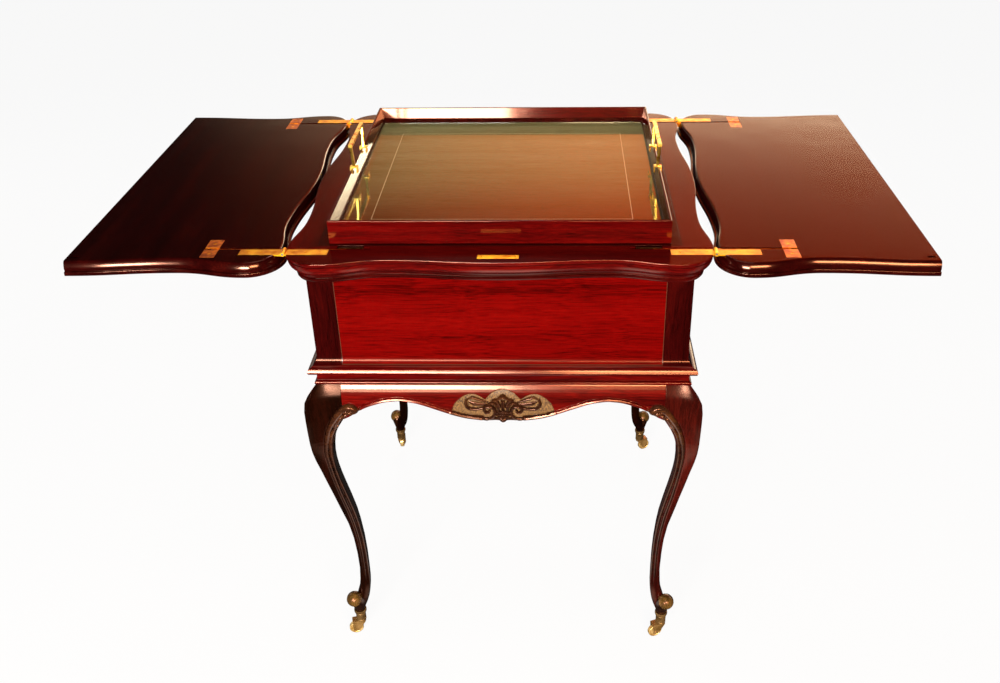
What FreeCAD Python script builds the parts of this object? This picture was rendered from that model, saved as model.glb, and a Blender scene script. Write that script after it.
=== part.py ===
import FreeCAD, Part
import math
import os
import re
import Sketcher
from FreeCAD import Placement, Rotation, Vector

# A mahogany tray-top tea table on four cabriole legs. Its top is two hinged
# leaves. Opening them pulls up a platform inside the case by four link bars,
# and the platform carries a lift-out, glass-bottomed tray. It is modelled
# open, with the tray up. Millimetres; the origin is on the floor under the
# middle of the table, +X is to the right along the leaves, +Y to the back.

SIZES = [
    # the top, in plan
    ("hinge_span", 590.0), ("top_depth", 596.0), ("side_waist", 10.5),
    ("side_waist_at", 160.0), ("side_gap", 0.6), ("front_waist", 8.5),
    ("lobe_bulge", 5.5), ("lobe_from_hinge", 48.0), ("waist_from_hinge", 142.0),
    ("corner_from_strap", 12.0), ("meeting_gap", 0.5),
    # the moulded edges: how far each step stands in, and its height
    ("edge_cove", 9.0), ("edge_round", 1.5), ("edge_quirk", 3.0), ("edge_quirk_high", 2.5),
    ("rim_lip", 4.0), ("leaf_lip", 5.5), ("leaf_face_inset", 4.5),
    ("cornice_in", 15.0), ("cornice_out", 11.0),
    # heights
    ("stand_top", 534.0), ("case_height", 186.0), ("rim_thick", 20.0),
    ("leaf_thick", 20.0), ("leaf_rise", 0.25),
    # case
    ("side_overhang", 26.5), ("front_overhang", 29.5), ("side_wall", 13.5),
    ("front_wall", 11.0), ("case_floor", 8.0), ("opening_lip", 3.0),
    ("link_room", 12.0), ("guide_half_length", 136.0), ("guide_gap", 0.3),
    # mouldings
    ("cornice_height", 16.0), ("plinth_height", 14.0), ("plinth_out", 3.0),
    ("base_fillet", 9.0), ("base_flare", 15.0), ("base_out", 14.0),
    ("bead_height", 7.0), ("bead_out", 5.0), ("bead_round", 2.0), ("stringing", 1.2),
    ("panel_inset", 36.5), ("panel_foot", 27.5), ("panel_head", 17.0),
    # stand
    ("block", 32.0), ("stand_out", 2.0), ("apron_thick", 22.0),
    ("apron_end", 60.0), ("apron_arch", 40.0), ("apron_drop", 74.5),
    ("cartouche_half", 76.0), ("cartouche_rise", 3.0), ("cartouche_margin", 4.0),
    ("ankle_in", 21.5), ("knee_reach", 28.0), ("ankle_width", 17.0),
    ("toe_ball", 12.5), ("toe_ball_out", 5.0), ("toe_ball_high", 27.0),
    # platform and tray
    ("platform_thick", 12.0), ("platform_gap", 0.6), ("handle_room", 15.0),
    ("tray_gap", 6.5), ("tray_wall", 8.0), ("tray_height", 34.5), ("tray_round", 1.5),
    ("tray_seat", 0.2), ("tray_base", 6.0), ("glass_thick", 3.0), ("glass_gap", 0.4),
    ("handle_length", 104.0), ("handle_rise", 39.0), ("handle_bar", 6.0),
    ("handle_bar_thick", 4.0), ("handle_leg", 4.6), ("handle_splay", 1.0),
    ("collar_spacing", 86.0), ("collar_width", 9.0), ("collar_wall", 1.8),
    ("collar_drop", 8.0),
    # hinges and links
    ("strap_width", 16.0), ("strap_length", 61.0), ("strap_thick", 2.0),
    ("strap_to_link", 0.7), ("knuckle_radius", 3.2), ("knuckle_gap", 0.3),
    ("hinge_pin_radius", 1.5), ("pin_play", 0.06), ("let_in_gap", 0.1),
    ("screw_head", 2.6), ("screw_shank", 1.4), ("screw_length", 10.0), ("screw_gap", 0.05),
    ("first_screw", 13.0), ("screw_pitch", 18.0),
    ("link_thick", 4.0), ("link_high", 7.0), ("link_depth", 5.0), ("link_lean", 20.0),
    ("link_play", 0.5), ("link_sag_room", 1.0), ("link_swing_in", 34.0),
    ("link_wall_gap", 1.2), ("platform_stop", 2.0), ("link_pin_radius", 1.5),
    ("link_pin_hold", 5.0), ("bracket_length", 20.0), ("bracket_width", 25.0),
    ("bracket_thick", 1.6), ("lug_inward", 25.0), ("lug_outward", 10.0),
    ("lug_thick", 2.6), ("lug_foot", 5.0), ("lug_gap", 0.4), ("lug_below", 0.6),
    ("lug_seat", 3.0),
    # lock
    ("lock_length", 56.0), ("lock_width", 11.0), ("lock_inset", 18.5), ("lock_plate", 2.0),
    ("lock_body", 34.0), ("lock_depth", 15.5), ("lock_play", 0.3), ("lock_hole", 1.6),
    ("lock_hole_in", 5.0), ("bolt_pitch", 22.0), ("bolt_length", 9.0), ("bolt_width", 4.0),
    ("bolt_throw", 6.0), ("bolt_below", 0.3), ("bolt_high", 13.4), ("yoke_high", 3.7),
    # castors
    ("wheel_radius", 12.0), ("wheel_width", 8.0), ("wheel_edge", 1.2), ("axle_radius", 2.0),
    ("swivel_in", 13.0), ("cup_height", 24.0), ("cup_radius", 10.5), ("cup_lip", 5.0),
    ("cup_taper", 2.0), ("cup_wall", 1.6), ("cup_fit", 0.2), ("horn_plate", 4.0),
    ("horn_gap", 0.5), ("horn_end", 6.0), ("horn_collar", 7.5), ("cheek", 2.0),
    ("cheek_half", 4.5), ("wheel_clear", 1.0), ("trail", 10.0), ("stem_radius", 3.0),
    ("wheel_play", 0.4), ("axle_head", 0.8),
]

# What follows from the sizes above, in the order that it is worked out.
WORKED = [
    ("hinge_x", "hinge_span / 2"),
    ("half_depth", "top_depth / 2"),
    ("case_x", "hinge_x - side_overhang"),
    ("case_y", "half_depth - front_overhang"),
    ("well_x", "case_x - side_wall"),
    ("well_y", "case_y - front_wall"),
    ("open_x", "well_x - opening_lip"),
    ("open_y", "well_y - link_room"),
    ("under_rim", "stand_top + case_height"),
    ("axis_z", "under_rim + rim_thick"),
    ("rim_z", "axis_z - leaf_rise"),
    ("floor_z", "stand_top + case_floor"),
    ("stand_x", "case_x + stand_out"),
    ("stand_y", "case_y + stand_out"),
    ("block_x", "stand_x - block"),
    ("block_y", "stand_y - block"),
    ("link_half", "link_thick / 2"),
    ("slot_half", "link_half + link_play"),
    ("link_y", "well_y - link_wall_gap - link_half"),
    ("strap_half", "strap_width / 2"),
    ("strap_y", "link_y + slot_half + strap_to_link + strap_half"),
    ("well_depth", "case_height + rim_thick - case_floor - platform_thick"),
    ("link_length", "well_depth - platform_stop"),
    ("bracket_reach", "(link_length + link_lean) / 2"),
    ("bracket_x", "hinge_x + bracket_reach"),
    ("link_x", "bracket_x - link_length"),
    ("link_z", "axis_z - link_depth"),
    ("groove_z", "link_z - link_high / 2 - link_sag_room"),
    ("slot_inner", "link_x - link_swing_in"),
    ("lug_outer", "link_y - link_half - lug_gap"),
    ("tray_x", "open_x - handle_room"),
    ("tray_y", "open_y - tray_gap"),
    ("tray_z", "rim_z + tray_seat"),
    ("tray_top", "tray_z + tray_height"),
    ("glass_z", "tray_z + tray_base + glass_gap"),
    ("lock_y", "half_depth - lock_inset"),
    ("swivel_x", "stand_x - swivel_in"),
    ("swivel_y", "stand_y - swivel_in"),
    ("plate_z", "2 * wheel_radius + wheel_clear"),
    ("horn_top", "plate_z + horn_plate"),
    ("cup_z", "horn_top + horn_gap"),
    ("cup_top", "cup_z + cup_height"),
    ("cup_bore", "cup_radius - cup_taper - cup_wall"),
]

doc = FreeCAD.newDocument("tray_top_tea_table")


def fill_sheet(name, rows):
    made = doc.addObject("Spreadsheet::Sheet", name)
    for number, (alias, value) in enumerate(rows, start=1):
        made.set(f"A{number}", alias)
        made.set(f"B{number}", str(value))
        made.setAlias(f"B{number}", alias)
    return made


def full(text):
    """An expression with each size's name led by its sheet's name."""
    def lead(match):
        word = match.group(0)
        if word in driving_names:
            return "sizes." + word
        if word in worked_names:
            return "worked." + word
        return word
    return re.sub(r"[a-z][a-z_]*", lead, text)


driving_names = {alias for alias, value in SIZES}
worked_names = {alias for alias, value in WORKED}
sizes = fill_sheet("sizes", SIZES)
doc.recompute()
worked = doc.addObject("Spreadsheet::Sheet", "worked")
for row, (alias, formula) in enumerate(WORKED, start=1):
    worked.set(f"A{row}", alias)
    worked.set(f"B{row}", "=" + full(formula).replace("worked.", ""))
    worked.setAlias(f"B{row}", alias)
doc.recompute()


def dim(name):
    """A size as a plain number of millimetres."""
    return float(getattr(sizes if name in driving_names else worked, name))


def bind(thing, prop, text):
    thing.setExpression(prop, full(text))


PARTS = {}


def keep(label, thing):
    """Names a finished sub-part, whose shape goes to its own file."""
    thing.Label = label
    PARTS[label] = thing
    return thing


def box(name, x, y, z):
    """A block between two expressions on each of the three axes."""
    made = doc.addObject("Part::Box", name)
    for axis, prop, (low, high) in (("x", "Length", x), ("y", "Width", y), ("z", "Height", z)):
        bind(made, prop, f"({high}) - ({low})")
        bind(made, "Placement.Base." + axis, low)
    return made


def rod(name, radius, length, base, turn=None):
    """A cylinder whose foot's centre is at the three expressions of base."""
    made = doc.addObject("Part::Cylinder", name)
    if turn is not None:
        made.Placement = Placement(Vector(), turn)
    bind(made, "Radius", radius)
    bind(made, "Height", length)
    for axis, text in zip("xyz", base):
        bind(made, "Placement.Base." + axis, text)
    return made


ALONG_Y = Rotation(Vector(1, 0, 0), -90)


def gather(name, things):
    made = doc.addObject("Part::Compound", name)
    made.Links = things
    return made


def cut(name, base, tools):
    made = doc.addObject("Part::Cut", name)
    made.Base = base
    made.Tool = tools[0] if len(tools) == 1 else gather(name + "_cutters", tools)
    return made


def feature(name, shape):
    made = doc.addObject("Part::Feature", name)
    made.Shape = shape
    made.Placement = shape.Placement
    return made


def signed(sign, text):
    return text if sign > 0 else f"-({text})"


def span(sign, low, high):
    """The same stretch on the positive or the negative side."""
    return (low, high) if sign > 0 else (f"-({high})", f"-({low})")


SIDES = {"left": -1, "right": 1}
ENDS = {"front": -1, "back": 1}
CORNERS = [(end, side) for end in ENDS for side in SIDES]


# ---- sketches --------------------------------------------------------------

def new_sketch(body, role, name):
    made = body.newObject("Sketcher::SketchObject", name)
    plane = [face for face in body.Origin.OriginFeatures if face.Role == role][0]
    made.AttachmentSupport = [(plane, "")]
    made.MapMode = "FlatFace"
    return made


def draw(sketch, corners):
    """A closed outline whose corners are pairs of expressions from the origin."""
    count = len(corners)
    start = sketch.GeometryCount
    places = []
    for number in range(count):
        angle = 2 * math.pi * number / count
        places.append(Vector(10 * math.cos(angle), 10 * math.sin(angle), 0))
    for number in range(count):
        line = Part.LineSegment(places[number], places[(number + 1) % count])
        sketch.addGeometry(line, False)
    for number in range(count):
        following = start + (number + 1) % count
        sketch.addConstraint(Sketcher.Constraint("Coincident", start + number, 2, following, 1))
    for number, pair in enumerate(corners):
        for kind, text in zip(("DistanceX", "DistanceY"), pair):
            rule = Sketcher.Constraint(kind, -1, 1, start + number, 1, 1.0)
            index = sketch.addConstraint(rule)
            sketch.setExpression(f"Constraints[{index}]", full(text))


def circle(sketch, x, y, radius):
    number = sketch.addGeometry(Part.Circle(Vector(1, 1, 0), Vector(0, 0, 1), 1), False)
    for kind, text in (("DistanceX", x), ("DistanceY", y)):
        index = sketch.addConstraint(Sketcher.Constraint(kind, -1, 1, number, 3, 1.0))
        sketch.setExpression(f"Constraints[{index}]", full(text))
    index = sketch.addConstraint(Sketcher.Constraint("Radius", number, 1.0))
    sketch.setExpression(f"Constraints[{index}]", full(radius))


def padded_body(name, outline, thick, holes=()):
    """A flat plate padded up from its sketch, with round holes pocketed through."""
    body = doc.addObject("PartDesign::Body", name)
    sketch = new_sketch(body, "XY_Plane", name + "_outline")
    draw(sketch, outline)
    pad = body.newObject("PartDesign::Pad", name + "_pad")
    pad.Profile = sketch
    bind(pad, "Length", thick)
    if holes:
        doc.recompute()
        drilled = new_sketch(body, "XY_Plane", name + "_holes")
        for x, y, radius in holes:
            circle(drilled, x, y, radius)
        pocket = body.newObject("PartDesign::Pocket", name + "_pocket")
        pocket.Profile = drilled
        pocket.Type = 1
        pocket.Reversed = True
    return body


def turned_body(name, profile):
    """A turning: a closed profile of (radius, height) swung about the Z axis."""
    body = doc.addObject("PartDesign::Body", name)
    sketch = new_sketch(body, "XZ_Plane", name + "_profile")
    draw(sketch, profile)
    turning = body.newObject("PartDesign::Revolution", name + "_turning")
    turning.Profile = sketch
    turning.ReferenceAxis = (sketch, ["V_Axis"])
    turning.Angle = 360
    return body


def place(thing, base, angle=0.0):
    thing.Placement = Placement(Vector(), Rotation(Vector(0, 0, 1), angle))
    for axis, text in zip("xyz", base):
        bind(thing, "Placement.Base." + axis, text)


# ---- the serpentine outline of the top -------------------------------------

def swing(start, middle_one, middle_two, end):
    curve = Part.BezierCurve()
    curve.setPoles([start, middle_one, middle_two, end])
    return curve.toShape()


def quarter(inset, z):
    """One quarter of the outline, from the middle of the front to that of a side.

    The key points are where the outline runs square to an axis: the bulge in
    the middle of the front, its waist, the corner lobe, the hinge, and the
    waist and bulge of the side. An inset moves each of them straight inwards.
    """
    front = dim("half_depth") - inset
    side = dim("hinge_x") - dim("side_gap") - inset
    hinge_y = dim("strap_y") - dim("corner_from_strap")
    keys = [
        (0, front),
        (dim("hinge_x") - dim("waist_from_hinge"), front - dim("front_waist")),
        (dim("hinge_x") - dim("lobe_from_hinge"), front + dim("lobe_bulge")),
        (side, hinge_y),
        (side - dim("side_waist"), dim("side_waist_at")),
        (side, 0),
    ]
    pull = [0.45, 0.45, 0.55, 0.45, 0.45]
    edges = []
    for number, share in enumerate(pull):
        x0, y0 = keys[number]
        x1, y1 = keys[number + 1]
        along_x_first = number < 3
        along_x_last = number < 2
        first = (x0 + share * (x1 - x0), y0) if along_x_first else (x0, y0 + share * (y1 - y0))
        last = (x1 - share * (x1 - x0), y1) if along_x_last else (x1, y1 - share * (y1 - y0))
        points = [Vector(x, y, z) for x, y in (keys[number], first, last, keys[number + 1])]
        edges.append(swing(*points))
    return edges


def turned_about(shape, x_sign, y_sign):
    matrix = FreeCAD.Matrix()
    matrix.scale(x_sign, y_sign, 1)
    return shape.transformGeometry(matrix)


def top_wire(inset, z):
    edges = []
    for x_sign in (1, -1):
        for y_sign in (1, -1):
            edges += [turned_about(edge, x_sign, y_sign) for edge in quarter(inset, z)]
    return Part.Wire(Part.__sortEdges__(edges))


def leaf_wire(inset, z, side):
    """Half the outline, laid over to the outside of its hinge."""
    hinge = dim("hinge_x")
    edges = []
    for y_sign in (1, -1):
        for edge in quarter(inset, z):
            flipped = turned_about(edge, -1, y_sign)
            flipped.translate(Vector(2 * hinge, 0, 0))
            edges.append(turned_about(flipped, side, 1))
    far = side * 2 * hinge
    front = dim("half_depth") - inset
    edges.append(Part.LineSegment(Vector(far, -front, z), Vector(far, front, z)).toShape())
    return Part.Wire(Part.__sortEdges__(edges))


def stack(wire, layers):
    """A moulded edge as layers of (inset below, inset above, lower z, upper z)."""
    solids = []
    for low_inset, high_inset, low, high in layers:
        if low_inset == high_inset:
            solids.append(Part.Face(wire(low_inset, low)).extrude(Vector(0, 0, high - low)))
        else:
            pair = [wire(low_inset, low), wire(high_inset, high)]
            solids.append(Part.makeLoft(pair, True, True))
    return solids[0].fuse(solids[1:]).removeSplitter()


def prism(points, low, high):
    corners = [Vector(x, y, low) for x, y in points]
    corners.append(corners[0])
    return Part.Face(Part.makePolygon(corners)).extrude(Vector(0, 0, high - low))


def block_shape(x, y, z):
    made = Part.makeBox(x[1] - x[0], y[1] - y[0], z[1] - z[0])
    made.translate(Vector(x[0], y[0], z[0]))
    return made


def mitre(name, half_x, half_y, low, high):
    """The wedge that one side of a mitred frame lies in."""
    reach = 200.0
    inner = 60.0
    front = [(-half_x + inner, -half_y + inner), (half_x - inner, -half_y + inner),
             (half_x + reach, -half_y - reach), (-half_x - reach, -half_y - reach)]
    right = [(half_x - inner, -half_y + inner), (half_x - inner, half_y - inner),
             (half_x + reach, half_y + reach), (half_x + reach, -half_y - reach)]
    points = {"front": front, "back": [(x, -y) for x, y in front],
              "right": right, "left": [(-x, y) for x, y in right]}
    return prism(points[name], low, high)


FRAME_SIDES = ("front", "back", "left", "right")


def moulding(profile, half_x, half_y):
    """Four mitred lengths of moulding round a rectangle.

    The profile is a closed list of (distance out from the rectangle, height).
    """
    heights = [height for out, height in profile]
    reach = 100.0
    made = []
    for name in FRAME_SIDES:
        if name in ENDS:
            sign, half, length = ENDS[name], half_y, 2 * (half_x + reach)
            points = [Vector(-length / 2, sign * (half + out), z) for out, z in profile]
            along = Vector(length, 0, 0)
        else:
            sign, half, length = SIDES[name], half_x, 2 * (half_y + reach)
            points = [Vector(sign * (half + out), -length / 2, z) for out, z in profile]
            along = Vector(0, length, 0)
        stick = Part.Face(Part.makePolygon(points + [points[0]])).extrude(along)
        wedge = mitre(name, half_x, half_y, min(heights) - 1, max(heights) + 1)
        made.append(stick.common(wedge).Solids[0])
    return made


# ---- legs ------------------------------------------------------------------
# Each row is a section of the cabriole above its toe: its height as a share of
# the leg, how far it stands out along both axes as a share of the knee's reach,
# and its width as a multiple of the ankle's.

LEG_SECTIONS = [
    (0.090, -0.03, 1.15), (0.118, -0.13, 1.03), (0.172, -0.16, 1.00), (0.222, -0.16, 1.00),
    (0.274, -0.13, 1.03), (0.338, -0.03, 1.09), (0.409, 0.14, 1.20), (0.492, 0.37, 1.32),
    (0.575, 0.63, 1.44), (0.659, 0.85, 1.62), (0.732, 0.96, 1.82), (0.800, 0.95, 1.98),
    (0.856, 0.92, 2.08), (0.905, 0.80, 2.14), (0.945, 0.55, 2.14),
]
TOE_SECTIONS = [(0.0, 1.00, 1.00), (10.0, 0.98, 1.12), (22.0, 0.76, 1.34), (32.0, 0.32, 1.28)]
ROUND = 0.92
SQUARED = 0.6


def rounded_square(x, y, z, width, round_share):
    """A square section with its corners rounded by arcs, as one closed wire."""
    half = width / 2
    radius = round_share * half
    flat = half - radius
    edges = []
    for turn in range(4):
        angle = math.radians(90 * turn)
        side = Vector(math.cos(angle), math.sin(angle), 0)
        along = Vector(-math.sin(angle), math.cos(angle), 0)
        low = side * half - along * flat
        high = side * half + along * flat
        middle = (side + along) * (flat + radius / math.sqrt(2))
        end = along * half + side * flat
        edges.append(Part.LineSegment(low, high).toShape())
        edges.append(Part.Arc(high, middle, end).toShape())
    wire = Part.Wire(edges)
    wire.translate(Vector(x, y, z))
    return wire


def leg_shape(side, end):
    foot = dim("cup_top")
    rise = dim("stand_top") - foot
    centre_x = dim("stand_x") - dim("ankle_in")
    centre_y = dim("stand_y") - dim("ankle_in")
    toe_out = dim("ankle_in") - dim("swivel_in")
    rows = [(height, share * toe_out, width, ROUND) for height, share, width in TOE_SECTIONS]
    for share, out, width in LEG_SECTIONS:
        rows.append((share * rise, out * dim("knee_reach"), width,
                     ROUND if share < 0.6 else SQUARED))
    wires = [rounded_square(centre_x + out, centre_y + out, foot + height,
                            width * dim("ankle_width"), roundness)
             for height, out, width, roundness in rows]
    shaft = Part.makeLoft(wires, True, False)
    block_low = dim("stand_top") - dim("apron_end")
    block = block_shape((dim("block_x"), dim("stand_x")), (dim("block_y"), dim("stand_y")),
                        (block_low, dim("stand_top")))
    ball_at = toe_out + dim("toe_ball_out")
    ball = Part.makeSphere(dim("toe_ball"), Vector(centre_x + ball_at, centre_y + ball_at,
                                                   foot + dim("toe_ball_high")))
    tenon_foot = dim("cup_z") + dim("cup_wall") + dim("cup_fit")
    tenon = Part.makeCylinder(dim("cup_bore") - dim("cup_fit") - dim("cup_taper") / 2, foot - tenon_foot + 1,
                              Vector(dim("swivel_x"), dim("swivel_y"), tenon_foot))
    # the knee stays clear of the aprons, whose ends meet the block's inner faces
    knee_room = block_shape((dim("block_x"), dim("stand_x") + 60), (dim("block_y"), dim("stand_y") + 60),
                            (block_low, dim("stand_top")))
    upper = shaft.common(knee_room)
    lower = shaft.common(block_shape((0, dim("stand_x") + 60), (0, dim("stand_y") + 60), (0, block_low)))
    whole = lower.fuse([upper, block, ball, tenon])
    bead_low = dim("stand_top") - dim("bead_height")
    for x, y in (((dim("stand_x"), dim("stand_x") + 60), (0, dim("stand_y") + 60)),
                 ((0, dim("stand_x") + 60), (dim("stand_y"), dim("stand_y") + 60))):
        whole = whole.cut(block_shape(x, y, (bead_low, dim("stand_top") + 1)))
    return turned_about(whole.removeSplitter().Solids[0], side, end)


for end, side in CORNERS:
    name = f"leg_{end}_{side}"
    keep(name, feature(name, leg_shape(SIDES[side], ENDS[end])))


# ---- aprons ----------------------------------------------------------------

def apron_shape(half_length):
    """A rail seen from the front: low at its ends, arched, and low in the middle."""
    top = dim("stand_top")
    end_z = top - dim("apron_end")
    arch_z = top - dim("apron_arch")
    low_z = top - dim("apron_drop")
    arch_x = 0.66 * half_length
    edges = []
    for sign in (1, -1):
        middle = Vector(0, 0, low_z)
        arch = Vector(sign * arch_x, 0, arch_z)
        end = Vector(sign * half_length, 0, end_z)
        edges.append(swing(middle, Vector(sign * 0.45 * arch_x, 0, low_z),
                           Vector(sign * 0.6 * arch_x, 0, arch_z), arch))
        edges.append(swing(arch, Vector(sign * (arch_x + 0.4 * (half_length - arch_x)), 0, arch_z),
                           Vector(sign * (half_length - 8), 0, end_z + 5), end))
        edges.append(Part.LineSegment(end, Vector(sign * half_length, 0, top)).toShape())
    edges.append(Part.LineSegment(Vector(-half_length, 0, top), Vector(half_length, 0, top)).toShape())
    face = Part.Face(Part.Wire(Part.__sortEdges__(edges)))
    return face.extrude(Vector(0, dim("apron_thick"), 0))


def carving_shape():
    """The raised cartouche in the middle of an apron: a low three-lobed mound."""
    rise = dim("cartouche_rise")
    middle = dim("stand_top") - dim("apron_drop") / 2 - dim("cartouche_margin")
    lobes = []
    for share, radius_share in ((0.0, 0.34), (-0.5, 0.29), (0.5, 0.29)):
        centre = Vector(share * dim("cartouche_half"), -rise, middle)
        radius = radius_share * dim("cartouche_half")
        lobes.append(Part.makeCylinder(radius, 2 * rise, centre, Vector(0, 1, 0)))
    return lobes[0].fuse(lobes[1:]).removeSplitter()


for end, sign in ENDS.items():
    shape = apron_shape(dim("block_x"))
    if end == "front":
        half, rise, margin = dim("cartouche_half"), dim("cartouche_rise"), dim("cartouche_margin")
        field = block_shape((-half, half), (-rise, rise),
                            (dim("stand_top") - dim("apron_drop") + margin,
                             dim("stand_top") - dim("bead_height") - margin))
        shape = shape.fuse(carving_shape().common(field))
    shape.translate(Vector(0, -dim("stand_y"), 0))
    name = f"apron_{end}"
    keep(name, feature(name, turned_about(shape, 1, -sign)))
for side, sign in SIDES.items():
    shape = apron_shape(dim("block_y"))
    shape.rotate(Vector(), Vector(0, 0, 1), 90)
    shape.translate(Vector(dim("stand_x"), 0, 0))
    name = f"apron_{side}"
    keep(name, feature(name, turned_about(shape, sign, 1)))

# ---- mouldings of the stand and the case's foot ----------------------------

bead_top = dim("stand_top")
bead_half = dim("bead_height") / 2
bead_profile = [(0.0, bead_top), (0.0, bead_top - 2 * bead_half),
                (dim("bead_out") - dim("bead_round"), bead_top - 2 * bead_half),
                (dim("bead_out"), bead_top - bead_half),
                (dim("bead_out") - dim("bead_round"), bead_top)]
bead_profile = [(out + dim("stand_out"), z) for out, z in bead_profile]
keep("stand_bead", feature("stand_bead", Part.makeCompound(
    moulding(bead_profile, dim("case_x"), dim("case_y")))))

plinth_top = dim("stand_top") + dim("plinth_height")
fillet_top = plinth_top + dim("base_fillet")
flare_top = fillet_top + dim("base_flare")
base_profile = [
    (0.0, dim("stand_top")), (dim("plinth_out"), dim("stand_top")),
    (dim("plinth_out"), plinth_top), (dim("base_out"), plinth_top),
    (dim("base_out"), fillet_top), (0.55 * dim("base_out"), fillet_top + 0.2 * dim("base_flare")),
    (0.2 * dim("base_out"), fillet_top + 0.55 * dim("base_flare")), (0.0, flare_top)]
keep("base_moulding", feature("base_moulding", Part.makeCompound(
    moulding(base_profile, dim("case_x"), dim("case_y")))))

# ---- case ------------------------------------------------------------------

for end, sign in ENDS.items():
    wall = box(f"case_{end}_board", ("-case_x", "case_x"), span(sign, "well_y", "case_y"),
               ("stand_top", "under_rim"))
    if end == "back":
        keep("case_back", wall)
        continue
    panel_x = "case_x - panel_inset"
    foot = "stand_top + panel_foot"
    head = "under_rim - panel_head"
    strips = []
    for number, (x, z) in enumerate((
            ((f"-({panel_x})", panel_x), (foot, f"{foot} + stringing")),
            ((f"-({panel_x})", panel_x), (f"{head} - stringing", head)),
            ((f"-({panel_x})", f"-({panel_x}) + stringing"), (f"{foot} + stringing", f"{head} - stringing")),
            ((f"{panel_x} - stringing", panel_x), (f"{foot} + stringing", f"{head} - stringing")))):
        strips.append(box(f"line_{number}", x, ("-case_y", "-case_y + 1"), z))
    lines = gather("front_line_strips", strips)
    keep("case_front", cut("case_front_cut", wall, [lines]))
    keep("front_stringing", gather("front_stringing_set", strips))
for side, sign in SIDES.items():
    keep(f"case_{side}", box(f"case_{side}_board", span(sign, "well_x", "case_x"),
                             ("-well_y", "well_y"), ("stand_top", "under_rim")))
keep("case_bottom", box("case_bottom_board", ("-well_x", "well_x"), ("-well_y", "well_y"),
                        ("stand_top", "floor_z")))
for end, sign in ENDS.items():
    keep(f"guide_{end}", box(f"guide_{end}_board", ("-guide_half_length", "guide_half_length"),
                             span(sign, "open_y + guide_gap", "well_y"), ("floor_z", "under_rim")))

# The cornice is a small coved moulding that fills the corner between the case
# and the rim, and follows the rim's serpentine edge.
cornice_low = dim("under_rim") - dim("cornice_height")
cornice_ring = stack(top_wire, [(dim("cornice_in"), dim("cornice_out"), cornice_low, dim("under_rim"))])
cornice_ring = cornice_ring.cut(block_shape((-dim("case_x"), dim("case_x")),
                                            (-dim("case_y"), dim("case_y")),
                                            (cornice_low - 1, dim("under_rim") + 1)))
cornice_sides = [cornice_ring.common(mitre(name, dim("case_x"), dim("case_y"), cornice_low - 1,
                                           dim("under_rim") + 1)).Solids[0] for name in FRAME_SIDES]
keep("cornice_moulding", feature("cornice_moulding", Part.makeCompound(cornice_sides)))

# ---- rim -------------------------------------------------------------------

def both(sign, low, high):
    """A stretch of numbers on the positive or the negative side."""
    return (low, high) if sign > 0 else (-high, -low)


def screw_holes(x_list, y, sx, sy):
    """Pilot holes for the screws of one strap or plate, down from the surface."""
    return [Part.makeCylinder(dim("screw_shank") + dim("screw_gap"), dim("screw_length") + 1,
                              Vector(sx * x, sy * y, dim("rim_z") - dim("screw_length") - 0.5))
            for x in x_list]


over = dim("axis_z") + 1
play = dim("let_in_gap")
strap_reach = [dim("first_screw") + number * dim("screw_pitch") for number in range(3)]
strap_edges = (dim("strap_y") - dim("strap_half") - play, dim("strap_y") + dim("strap_half") + play)
slot_edges = (dim("link_y") - dim("slot_half"), dim("link_y") + dim("slot_half"))
past_hinge = 5.0
rim_cutters = []
for sx in (1, -1):
    for sy in (1, -1):
        slot_y = both(sy, *slot_edges)
        rim_cutters.append(block_shape(both(sx, dim("slot_inner"), dim("well_x")), slot_y,
                                       (dim("under_rim") - 1, over)))
        rim_cutters.append(block_shape(both(sx, dim("well_x") - 1, dim("hinge_x") + past_hinge), slot_y,
                                       (dim("groove_z"), over)))
        rim_cutters.append(block_shape(
            both(sx, dim("link_x") - dim("lug_inward") - 1, dim("link_x") + dim("lug_outward") + 1),
            both(sy, dim("open_y") - 1, dim("link_y")), (dim("under_rim") - 1, over)))
        strap_y = both(sy, *strap_edges)
        rim_cutters.append(block_shape(
            both(sx, dim("hinge_x") - dim("strap_length") - play, dim("hinge_x") + past_hinge), strap_y,
            (dim("rim_z") - dim("strap_thick"), over)))
        rim_cutters.append(Part.makeCylinder(dim("knuckle_radius") + dim("knuckle_gap") + play,
                                             strap_y[1] - strap_y[0],
                                             Vector(sx * dim("hinge_x"), strap_y[0], dim("axis_z")),
                                             Vector(0, 1, 0)))
        rim_cutters += screw_holes([dim("hinge_x") - reach for reach in strap_reach],
                                   dim("strap_y"), sx, sy)
lock_cut_y = (-dim("lock_y") - dim("lock_width") / 2 - play, -dim("lock_y") + dim("lock_width") / 2 + play)
for half_length, depth in ((dim("lock_length") / 2, dim("lock_plate")),
                           (dim("lock_body") / 2, dim("lock_depth") + play)):
    rim_cutters.append(block_shape((-half_length - play, half_length + play), lock_cut_y,
                                   (dim("rim_z") - depth, over)))

rim_low = dim("under_rim")
quirk_z = dim("rim_z") - dim("rim_lip") - dim("edge_quirk_high")
lip_z = dim("rim_z") - dim("rim_lip")
rim_ring = stack(top_wire, [
    (dim("edge_cove"), dim("edge_round"), rim_low, quirk_z),
    (dim("edge_quirk"), dim("edge_quirk"), quirk_z, lip_z),
    (0.0, 0.0, lip_z, dim("rim_z"))])
rim_ring = rim_ring.cut(block_shape((-dim("open_x"), dim("open_x")), (-dim("open_y"), dim("open_y")),
                                    (rim_low - 1, dim("rim_z") + 1)))
for name in FRAME_SIDES:
    piece = rim_ring.common(mitre(name, dim("open_x"), dim("open_y"), rim_low - 1, dim("rim_z") + 1))
    piece = piece.cut(Part.makeCompound(rim_cutters))
    keep(f"rim_{name}", feature(f"rim_{name}", piece))

# ---- leaves ----------------------------------------------------------------

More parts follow.
